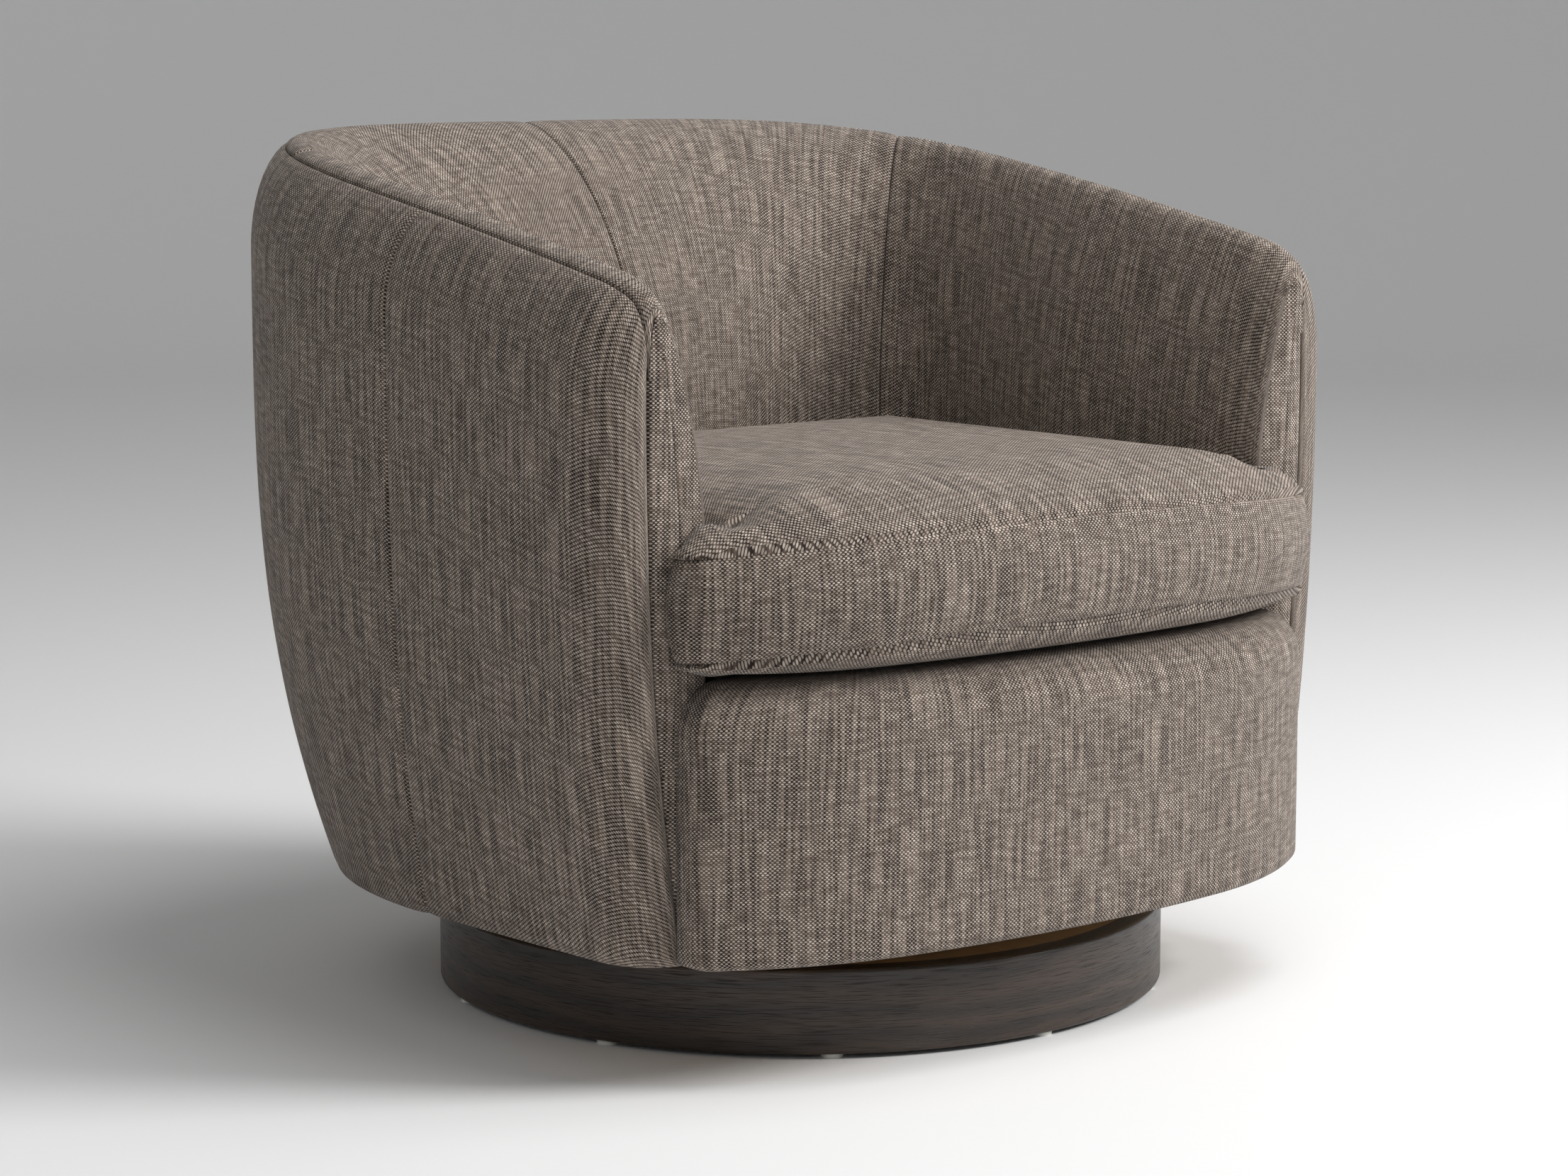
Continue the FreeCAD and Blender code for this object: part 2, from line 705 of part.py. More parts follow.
def save_rib(name, rib, taken):
    """Notches an upright rib round the rails and saves it and its mirror image."""
    for piece in taken:
        rib = rib.cut(piece)
    both_sides(name, rib)


def make_hangers(floor_top):
    """Pressed hangers on the rails, with the pins that the cradle's bushes turn on."""
    hangers = []
    for side in (1, -1):
        x = side * mech_rail_inner_x
        way = Vector(-side, 0, 0)
        plate = Part.makeBox(hanger_thickness, 2 * hanger_half_y, hanger_top - floor_top - 2.0,
                             Vector(min(x, x - side * hanger_thickness), -hanger_half_y, floor_top + 2.0))
        boss_length = mech_rail_inner_x - hanger_thickness - ear_inner_x - ear_thickness - bush_flange - 0.5
        boss = Part.makeCylinder(hanger_boss, boss_length + hanger_thickness, Vector(x, 0, pivot_height), way)
        pin_length = mech_rail_inner_x - ear_inner_x + 3.0
        pin = Part.makeCylinder(pin_radius, pin_length, Vector(x, 0, pivot_height), way)
        hangers.append(plate.fuse(boss).fuse(pin).removeSplitter())
    save("pivot_hangers", group(hangers))


def make_seat(cover, core):
    """Seat rails, corner blocks, webbing and the padded deck that the cushion lies on."""
    low = seat_rail_top - seat_rail_height
    behind = front_panel_padding + front_board_thickness
    front = front_region(behind, board_half_width, front_rail_back, low, seat_rail_height)
    top_edge = front.common(box(-900, -900, 0, 900, 900, front_board_top))
    save("front_rail", top_edge)
    side = box(well_half_width - 4.0, lip_front + fit_gap, low, core_inner_half, seat_rail_back_y,
               seat_rail_top)
    both_sides("seat_rail", side)
    inner_plan = prism(plan_wire(core_inner_half, core_inner_depth, well_squareness, -50.0, low), seat_rail_height)
    back = inner_plan.common(box(-back_rail_half, seat_rail_back_front, 0, back_rail_half, 900, 900))
    save("seat_rail_back", back.cut(core))
    corner = [Vector(back_rail_half, seat_rail_back_front, low), Vector(well_half_width - 4.0, seat_rail_back_y, low),
              Vector(core_inner_half, seat_rail_back_y, low), Vector(core_inner_half - 7.0, 198.0, low),
              Vector(core_inner_half - 22.0, 219.0, low), Vector(back_rail_half, 230.0, low)]
    block = prism(Part.makePolygon(corner + corner[:1]), seat_rail_height).cut(core)
    both_sides("corner_block", block)

    half_web = webbing_width / 2.0
    middle = (webbing_count - 1) / 2.0
    lengthways = []
    crossways = []
    for index in range(webbing_count):
        offset = (index - middle) * webbing_pitch
        lengthways.append(box(offset - half_web, front_rail_back - 20.0, seat_rail_top, offset + half_web,
                              seat_rail_back_front + 15.0, seat_rail_top + webbing_thickness))
        y = offset + webbing_centre_y
        crossways.append(box(-web_end_x, y - half_web, seat_rail_top + webbing_thickness, web_end_x,
                             y + half_web, seat_rail_top + 2.0 * webbing_thickness))
    save("webbing_lengthways", group(lengthways))
    save("webbing_crossways", group(crossways))

    deck_low = seat_rail_top + 2.0 * webbing_thickness
    deck = box(-deck_half, panel_back_y + 0.4, deck_low, deck_half, deck_back_y, deck_height)
    rear_corners = edges_where(deck, lambda b: b.ZLength > 5 and b.YMin > 0)
    save("deck_pad", deck.makeFillet(cushion_corner, rear_corners).cut(cover))


def make_cushion():
    """The loose T cushion: straight sides, ears in front of the arms, a bowed front and a crowned top."""
    low = deck_height + cushion_clearance
    body = box(-cushion_half_width, -260.0, low, cushion_half_width, cushion_back_y, cushion_crown)
    rear_corners = edges_where(body, lambda b: b.ZLength > 50 and b.YMin > 0)
    body = body.makeFillet(cushion_corner, rear_corners)
    ears = front_region(-cushion_front_overhang, ear_half_width, ear_back_y, low, cushion_crown - low)
    cushion = body.fuse(ears).removeSplitter()
    front = front_centre_y - cushion_front_overhang
    side_view = crown_slab(front, cushion_back_y, cushion_front_edge, cushion_rear_edge, low)
    front_view = crown_slab(-ear_half_width, ear_half_width, cushion_side_edge, cushion_side_edge, low)
    front_view.rotate(Vector(0, 0, 0), Vector(0, 0, 1), 90.0)
    save("seat_cushion", cushion.common(side_view).common(front_view))


def crown_slab(start, end, start_edge, end_edge, low):
    """A long slab along X: in side view its top rises steeply from both edges to a flat crown."""
    shoulder = cushion_edge_round
    top = cushion_crown
    half = 900.0
    outline = []
    for y, edge, inward in ((start, start_edge, shoulder), (end, end_edge, -shoulder)):
        curve = Part.BezierCurve()
        curve.setPoles([Vector(-half, y, edge), Vector(-half, y, top - (top - edge) * 0.35),
                        Vector(-half, y + inward, top - crown_fall * 0.6), Vector(-half, y + 3.0 * inward, top - crown_fall * 0.2)])
        outline.append(curve)
    first, last = outline
    crown = Part.Arc(first.EndPoint, Vector(-half, (start + end) / 2.0, top), last.EndPoint).toShape()
    corners = [Vector(-half, end, end_edge), Vector(-half, end, low), Vector(-half, start, low),
               Vector(-half, start, start_edge)]
    sides = [Part.makeLine(corners[k], corners[k + 1]) for k in range(3)]
    wire = Part.Wire([first.toShape(), crown, last.toShape()] + sides)
    return Part.Face(wire).extrude(Vector(2 * half, 0, 0))


def main():
    os.makedirs("parts", exist_ok=True)
    make_plinth()
    plate_top = make_swivel()
    make_cradle(plate_top, hem_height + cover_thickness + ply)
    cover, core = make_upholstery()
    floor, behind_board = make_front()
    make_frame(cover, core, floor, behind_board)
    make_cushion()


main()
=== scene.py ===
import json
import math

import bmesh
import bpy
import numpy as np
from bpy.props import FloatProperty, IntProperty, PointerProperty
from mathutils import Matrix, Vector


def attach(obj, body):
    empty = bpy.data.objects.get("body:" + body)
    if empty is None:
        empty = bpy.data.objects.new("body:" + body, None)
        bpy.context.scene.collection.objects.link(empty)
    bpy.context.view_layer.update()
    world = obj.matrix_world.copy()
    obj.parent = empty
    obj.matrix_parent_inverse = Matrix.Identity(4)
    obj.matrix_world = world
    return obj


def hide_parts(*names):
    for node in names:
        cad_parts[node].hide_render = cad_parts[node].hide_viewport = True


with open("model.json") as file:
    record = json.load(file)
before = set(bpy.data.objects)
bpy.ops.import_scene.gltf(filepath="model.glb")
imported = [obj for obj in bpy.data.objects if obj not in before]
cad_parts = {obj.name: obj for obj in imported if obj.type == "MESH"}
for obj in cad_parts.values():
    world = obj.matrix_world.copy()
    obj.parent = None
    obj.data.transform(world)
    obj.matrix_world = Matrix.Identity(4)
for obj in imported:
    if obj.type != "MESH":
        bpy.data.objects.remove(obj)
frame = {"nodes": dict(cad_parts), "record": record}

bl_info = {
    "name": "Swivel rocker looks",
    "version": (1, 0, 0),
    "blender": (4, 5, 0),
    "location": "3D View > Sidebar > Rocker",
    "description": "Builds the upholstery, the plinth, the finishes and the stage of a swivel rocker",
    "category": "Object",
}

# Outside of the barrel shell, in metres: its outline at the belly and how it draws in at the hem.
# An outline is a superellipse: half width, depth behind the turning axis, exponent.
HEM_HEIGHT = 0.0945
BELLY_HEIGHT = 0.5
BELLY_OUTLINE = (0.403, 0.435, 2.85)
HEM_DRAW = (0.039, 0.056, 0.7)
HEM_DRAW_SHARE = 0.842
HEM_DRAW_POWER = 2.2
TOP_DRAW = 0.006
ARM_TAPER = 0.004
HEM_ROUND = 0.009
HEM_LIP = 0.024

# Crest line, the rolled top and the inside of the wall
CREST_OUTLINE = (0.345, 0.381, 3.5)
CREST_BACK = 0.711
CREST_FRONT = 0.617
CREST_FRONT_Y = -0.2
CREST_FALL_POWER = 1.33
ROLL_HEIGHT = 0.09
WELL_OUTLINE = (0.29, 0.205, 9.8)
FOOT_HEIGHT = 0.42
INSIDE_BOTTOM = 0.3
OUTSIDE_HANDLE = 0.35
ROUND_HANDLE = 0.5523
CREST_HANDLES = (0.39, 0.34)
FOOT_HANDLES = (0.31, 0.66)
SLOPE_STEP = 0.001

# Plan path of the wall: the back by ray, the straight arm, then the rounded arm front
BACK_RUN = 0.62
ARM_RUN = 0.195
ARM_ROUND = 0.045
ROUND_RUN = ARM_ROUND * math.pi / 2.0
PATH_END = BACK_RUN + ARM_RUN + ROUND_RUN
ARM_FRONT_Y = -0.24
CORNER_SEAM_PATH = BACK_RUN * (1.0 - 36.3 / 90.0)
SIDE_SEAM_PATH = BACK_RUN * (1.0 - 4.2 / 90.0)
INSIDE_ROUND_SHARE = 0.3
TOP_ROUND_SHARE = 0.5

# Stretches of the wall's profile, by number: lip 0, hem round 1, outside 2, roll 3, inside 4, foot 5
LIP_START = 0.0
HEM_START = 1.0
ROLL_START = 3.0
INSIDE_START = 4.0
FOOT_START = 5.0
FOOT_LAST = 5.999
FOOT_STOP = 6.0
PROFILE_SAMPLES = 180

# Seams: where the top seam runs on the profile, how far a seam's pull reaches, and the sampling beside it
TOP_SEAM = 3.78
SEAM_CORNER = 3.2
SEAM_CORNER_RUN = 0.04
SEAM_FADE = 0.009
SEAM_OFFSETS = (0.0, 0.0005, 0.0014, 0.0028, 0.005, 0.0095)

# Padded face of the arm front
ARM_FACE_DROP = 0.055
ARM_FACE_SWELL = 0.003
ARM_FACE_SWELL_RUN = 0.03
ARM_FACE_SHARES = (0.0, 0.02, 0.06, 0.12, 0.22, 0.4, 0.6, 0.8, 1.0)
OUTSIDE_EDGE_POINTS = 60
INSIDE_EDGE_POINTS = 90
FOOT_EDGE_POINTS = 40

# Front panel
FRONT_HALF = 0.33
FRONT_CENTRE_Y = -0.343
FRONT_BOW = 1.15
FRONT_BOW_HALF = 0.17
FRONT_CORNER_BOW = 0.36
FRONT_BACK_Y = -0.2404
FRONT_TOP = 0.3105
FRONT_TOP_RUN = 0.1
FRONT_TOP_ROUND = 0.04
FRONT_CORNER_ROUND = 0.017
FRONT_SEAM_DROP = 0.013
FRONT_SEAM_DEPTH = 0.0015
FRONT_SEAM_WIDTH = 0.0018
FRONT_BOW_POINTS = 41
FRONT_PLAN_SPACING = 0.006
FRONT_PROFILE_SPACING = 0.004

# Loose T cushion; a seam's heights are at its middle and at the ears
CUSHION_HALF = 0.286
CUSHION_BACK_Y = 0.199
CUSHION_REAR_ROUND = 0.06
EAR_HALF = 0.342
EAR_BACK_Y = -0.2425
EAR_ROUND = 0.016
EAR_BACK_ROUND = 0.011
EAR_STEP = 0.002
CUSHION_PROUD = 0.002
CUSHION_LOW = 0.3112
CUSHION_CROWN = 0.457
LOWER_SEAM = (0.341, 0.327)
UPPER_SEAM = (0.42, 0.4045)
BAND_HEIGHT = 0.079
BAND_SPACING = 0.007
CUSHION_SPACING = 0.008
EAR_SPACING = 0.0015
REAR_ROUND_ROWS = 12
DISTANCE_PARTS = 40

# Plinth hoop
PLINTH_RADIUS = 0.305
PLINTH_WALL = 0.02
PLINTH_LOW = 0.0035
PLINTH_TOP = 0.0713
PLINTH_EDGE = 0.0025
PLINTH_PROFILE_SPACING = 0.0012

# Pale bowl that is both floor and backdrop
BOWL_RADIUS = 9.0
BOWL_BEND = 3.0
BOWL_HEIGHT = 7.0
BOWL_BEND_POINTS = 17
BOWL_SEGMENTS = 128
PAPER_COLOUR = (0.86, 0.86, 0.86, 1.0)

# Lights and camera
KEY_PLACE = (2.3, -2.6, 2.5)
FILL_PLACE = (-3.0, -1.6, 2.2)
TOP_PLACE = (0.5, -0.9, 3.2)
SIDE_LIGHT_TARGET = (0.0, 0.0, 0.35)
TOP_LIGHT_TARGET = (0.0, 0.0, 0.3)
KEY_SIZE = 1.6
FILL_SIZE = 2.0
TOP_SIZE = 2.0
TOP_POWER = 45.0
WORLD_STRENGTH = 0.3
CAMERA_LENS = 92.77
CAMERA_PLACE = (-2.1981, -2.5455, 0.7974)
CAMERA_DEGREES = (82.048, 0.0, -40.575)

# Weave of the tweed: pitches in metres, scales of noise in cycles to a metre of cloth
WEFT_PITCH = 0.0037
ROW_PITCH = 0.00155
WANDER_SCALE = 180.0
WANDER_RISE = 0.0009
WANDER_SHIFT = 260.0
FLOAT_HALF_LENGTH = 0.33
FLOAT_HALF_HEIGHT = 0.5
FLOAT_EDGE_GAIN = 2.2
SLUB_SCALES = (330.0, 16.0)
WEFT_TONE_SCALES = (60.0, 0.37)
WEAVE_DEPTH = 0.0006
FLOAT_BUMP = 0.8
SLUB_BUMP = 0.3
STREAK_LEVEL = 0.38
STREAK_GAIN = 3.6
WEFT_TONE_LEVEL = 0.3
WEFT_TONE_GAIN = 2.4
STREAK_SHADE = 0.45
WARP_DARK = (0.022, 0.015, 0.012)
WARP_PALE = (0.15, 0.112, 0.088)
WEFT_DARK = (0.3, 0.245, 0.205)
WEFT_PALE = (0.78, 0.68, 0.59)
WEFT_SHADED = (0.17, 0.13, 0.105)

# Grain of the oak and of the bare plywood, scales in cycles to a metre
OAK_BOW_SCALES = (3.0, 9.0)
OAK_RING_SCALE = 260.0
OAK_RING_BOW = 26.0
OAK_PORE_SCALES = (28.0, 1500.0)
OAK_PORE_LEVEL = 0.56
OAK_PORE_GAIN = 9.0
OAK_PORE_DEPTH = 0.00025
OAK_PORE_ROUGHNESS = 0.3
OAK_ROUGHNESS = 0.38
OAK_DARK = (0.011, 0.0065, 0.0042)
OAK_PALE = (0.042, 0.024, 0.014)
OAK_PORE = (0.004, 0.0025, 0.002)
PLYWOOD_SCALES = (120.0, 12.0, 120.0)
PLYWOOD_DARK = (0.42, 0.28, 0.15)
PLYWOOD_PALE = (0.66, 0.5, 0.31)

# Numbers of the Mix node's colour sockets
MIX_FACTOR = 0
MIX_FIRST = 6
MIX_SECOND = 7
MIX_RESULT = 2

# Making of the meshes
ARC_POINTS = 9
STRAIGHT_ANGLE = 0.001
WELD_DISTANCE = 0.00005
SLIVER_DISTANCE = 0.00001
MIRROR = np.array([-1.0, 1.0, 1.0])
MIRROR_UV = np.array([-1.0, 1.0])


class CoverSettings(bpy.types.PropertyGroup):
    """Sizes of the sewn covers that can be changed by themselves."""

    spacing: FloatProperty(
        name="Spacing", description="Distance between the lines of a cover's grid",
        default=0.011, min=0.004, unit="LENGTH")
    seam_round: FloatProperty(
        name="Seam round", description="Radius of the cloth where it turns into a seam",
        default=0.0032, min=0.001, unit="LENGTH")
    seam_pull: FloatProperty(
        name="Seam pull", description="How far a seam draws the padding in",
        default=0.0016, min=0.0, unit="LENGTH")
    cloth_thickness: FloatProperty(
        name="Cloth thickness", description="Thickness of the tweed",
        default=0.002, min=0.0005, unit="LENGTH")


class LookSettings(bpy.types.PropertyGroup):
    """Sizes of the other pieces and of the stage."""

    band_bulge: FloatProperty(
        name="Band bulge", description="How far the cushion's border swells outward",
        default=0.006, unit="LENGTH")
    under_run: FloatProperty(
        name="Under run", description="Distance over which the cushion's underside falls from its seam",
        default=0.018, unit="LENGTH")
    crown_run: FloatProperty(
        name="Crown run", description="Distance over which the cushion's top rises from its seam",
        default=0.04, unit="LENGTH")
    plinth_segments: IntProperty(
        name="Plinth segments", description="Segments round the plinth hoop", default=256)
    key_power: FloatProperty(
        name="Key light", description="Power of the main soft light", default=135.0)
    fill_power: FloatProperty(
        name="Fill light", description="Power of the soft light on the left", default=4.0)


class Socket:
    """An output of a shader node that takes part in sums written as formulas."""

    def __init__(self, finish, output):
        self.finish = finish
        self.output = output

    def maths(self, operation, *others):
        """A Math node fed by this output and then by the other sockets or numbers."""
        values = dict(enumerate((self,) + others))
        return self.finish.node("ShaderNodeMath", values, operation=operation)

    def __add__(self, other):
        return self.maths("ADD", other)

    __radd__ = __add__

    def __mul__(self, other):
        return self.maths("MULTIPLY", other)

    __rmul__ = __mul__

    def __sub__(self, other):
        return self.maths("SUBTRACT", other)

    def __rsub__(self, other):
        return self.maths("MULTIPLY", -1.0) + other

    def __truediv__(self, other):
        return self.maths("DIVIDE", other)

    def squared(self):
        return self.maths("POWER", 2.0)

    def floor(self):
        return self.maths("FLOOR")

    def wrap(self, size):
        return self.maths("FLOORED_MODULO", size)

    def clamp(self):
        return self.finish.node("ShaderNodeClamp", {0: self})

    def above(self, level, gain):
        """How far this value is above a level, times a gain, kept between 0 and 1."""
        return ((self - level) * gain).clamp()

    def mix(self, low, high):
        """Blends two colours, or two sockets of colour, by this factor."""
        first, second = [end if isinstance(end, Socket) else (*end, 1.0) for end in (low, high)]
        values = {MIX_FACTOR: self, MIX_FIRST: first, MIX_SECOND: second}
        return self.finish.node("ShaderNodeMix", values, MIX_RESULT, data_type="RGBA")


class Finish:
    """A new material with one Principled shader, and the nodes to draw patterns on it."""

    def __init__(self, name, **constants):
        self.material = bpy.data.materials.new(name)
        self.material.use_nodes = True
        self.tree = self.material.node_tree
        self.shader = self.tree.nodes["Principled BSDF"]
        for key, value in constants.items():
            self.shader.inputs[key.replace("_", " ")].default_value = value

    def node(self, kind, values, output=0, **settings):
        """Adds a node: first its settings, then its sockets, from numbers or from other sockets."""
        made = self.tree.nodes.new(kind)
        for name, setting in settings.items():
            setattr(made, name, setting)
        for key, value in values.items():
            if isinstance(value, Socket):
                self.tree.links.new(value.output, made.inputs[key])
            else:
                made.inputs[key].default_value = value
        return Socket(self, made.outputs[output])

    def coordinates(self, output):
        return self.node("ShaderNodeTexCoord", {}, output)

    def split(self, vector):
        """The three parts of a vector."""
        first = self.node("ShaderNodeSeparateXYZ", {0: vector})
        return [Socket(self, output) for output in first.output.node.outputs]

    def noise(self, vector, scale, detail=2.0):
        return self.node("ShaderNodeTexNoise", {"Vector": vector, "Scale": scale, "Detail": detail})

    def drawn_noise(self, parts, scales, detail):
        """Noise drawn out along one way, because each part of the place has a scale of its own."""
        scaled = [part * scale for part, scale in zip(parts, scales)]
        place = self.node("ShaderNodeCombineXYZ", dict(enumerate(scaled)))
        return self.noise(place, 1.0, detail)

    def feed(self, name, socket):
        self.tree.links.new(socket.output, self.shader.inputs[name])

    def bump(self, height, distance):
        self.feed("Normal", self.node("ShaderNodeBump", {"Height": height, "Distance": distance}))


def tweed():
    """Coarse plain weave: staggered pale oval weft floats over dark warp, with slubs along the warp."""
    finish = Finish("woven_tweed", Roughness=0.95, Sheen_Weight=0.12, Sheen_Roughness=0.5,
                    Specular_IOR_Level=0.15)
    place = finish.coordinates("UV")
    across, up, _ = finish.split(place)
    wander = (finish.noise(place, WANDER_SCALE) - 0.5) * WANDER_RISE
    row = (up + wander) / ROW_PITCH
    line = row.floor()
    column = across / WEFT_PITCH + wander * WANDER_SHIFT + line.wrap(2.0) * 0.5
    from_centre = column.wrap(1.0) - 0.5
    from_line = row.wrap(1.0) - 0.5
    oval = 1.0 - (from_centre / FLOAT_HALF_LENGTH).squared() - (from_line / FLOAT_HALF_HEIGHT).squared()
    float_mask = (oval * FLOAT_EDGE_GAIN).clamp()
    slub = finish.drawn_noise((across, up), SLUB_SCALES, 1.0)
    weft_tone = finish.drawn_noise((across, line), WEFT_TONE_SCALES, 1.0)
    streak = slub.above(STREAK_LEVEL, STREAK_GAIN)
    warp = streak.mix(WARP_DARK, WARP_PALE)
    weft = weft_tone.above(WEFT_TONE_LEVEL, WEFT_TONE_GAIN).mix(WEFT_DARK, WEFT_PALE)
    weft = (streak * STREAK_SHADE + (1.0 - STREAK_SHADE)).clamp().mix(WEFT_SHADED, weft)
    finish.feed("Base Color", float_mask.mix(warp, weft))
    finish.bump(float_mask * FLOAT_BUMP + slub * SLUB_BUMP, WEAVE_DEPTH)
    return finish.material


def stained_oak():
    """Dark stained oak: long grain round the hoop with open dark pores."""
    finish = Finish("stained_oak", Roughness=0.42, Coat_Weight=0.15, Coat_Roughness=0.35)
    around, up, _ = finish.split(finish.coordinates("UV"))
    bow = finish.drawn_noise((around, up), OAK_BOW_SCALES, 2.0)
    rings = (up * OAK_RING_SCALE + bow * OAK_RING_BOW).maths("SINE") * 0.5 + 0.5
    pore_noise = finish.drawn_noise((around, up), OAK_PORE_SCALES, 3.0)
    pores = pore_noise.above(OAK_PORE_LEVEL, OAK_PORE_GAIN)
    wood = (rings * 0.8 + bow * 0.3).clamp().mix(OAK_DARK, OAK_PALE)
    finish.feed("Base Color", pores.mix(wood, OAK_PORE))
    finish.feed("Roughness", pores * OAK_PORE_ROUGHNESS + OAK_ROUGHNESS)
    finish.bump(1.0 - pores, OAK_PORE_DEPTH)
    return finish.material


def bare_wood():
    """Pale birch plywood and beech, with a soft grain."""
    finish = Finish("bare_plywood", Roughness=0.65)
    parts = finish.split(finish.coordinates("Object"))
    grain = finish.drawn_noise(parts, PLYWOOD_SCALES, 3.0)
    finish.feed("Base Color", grain.mix(PLYWOOD_DARK, PLYWOOD_PALE))
    return finish.material


def plain_finish(name, colour, spread, scale, **constants):
    """An even finish whose tone varies a little over the surface."""
    finish = Finish(name, **constants)
    tone = finish.noise(finish.coordinates("Object"), scale)
    low = tuple(channel * (1.0 - spread) for channel in colour)
    high = tuple(min(channel * (1.0 + spread), 1.0) for channel in colour)
    finish.feed("Base Color", tone.mix(low, high))
    return finish.material


def node_finishes():
    """The finish of each material slot of the record, for the CAD pieces."""
    return {
        "plywood": bare_wood(),
        "pressed_steel": plain_finish(
            "pressed_steel_finish", (0.03, 0.03, 0.032), 0.2, 90.0, Roughness=0.5),
        "plated_steel": plain_finish(
            "plated_steel_finish", (0.55, 0.55, 0.56), 0.08, 60.0, Roughness=0.32, Metallic=1.0),
        "nylon": plain_finish(
            "nylon_finish", (0.7, 0.69, 0.64), 0.05, 40.0, Roughness=0.5),
        "rubber_buffer": plain_finish(
            "rubber_buffer_finish", (0.025, 0.025, 0.025), 0.2, 50.0, Roughness=0.8),
        "jute": plain_finish(
            "jute_finish", (0.42, 0.32, 0.2), 0.3, 600.0, Roughness=0.95),
        "dark_oak": bpy.data.materials["stained_oak"],
        "tweed": bpy.data.materials["woven_tweed"],
    }


def superellipse_reach(angle, outline):
    """Reach along a ray: |cosine / half width| and |sine / depth| to the power n, summed, to the -1/n."""
    half_width, depth, exponent = outline
    across = np.abs(np.cos(angle)) / half_width
    back = np.abs(np.sin(angle)) / depth
    return (across ** exponent + back ** exponent) ** (-1.0 / exponent)


def cubic(first, second, third, fourth, share):
    """A cubic curve's value: the four control values weighted by the Bernstein terms of the share."""
    rest = 1.0 - share
    return (
        rest ** 3 * first
        + 3.0 * rest ** 2 * share * second
        + 3.0 * rest * share ** 2 * third
        + share ** 3 * fourth
    )


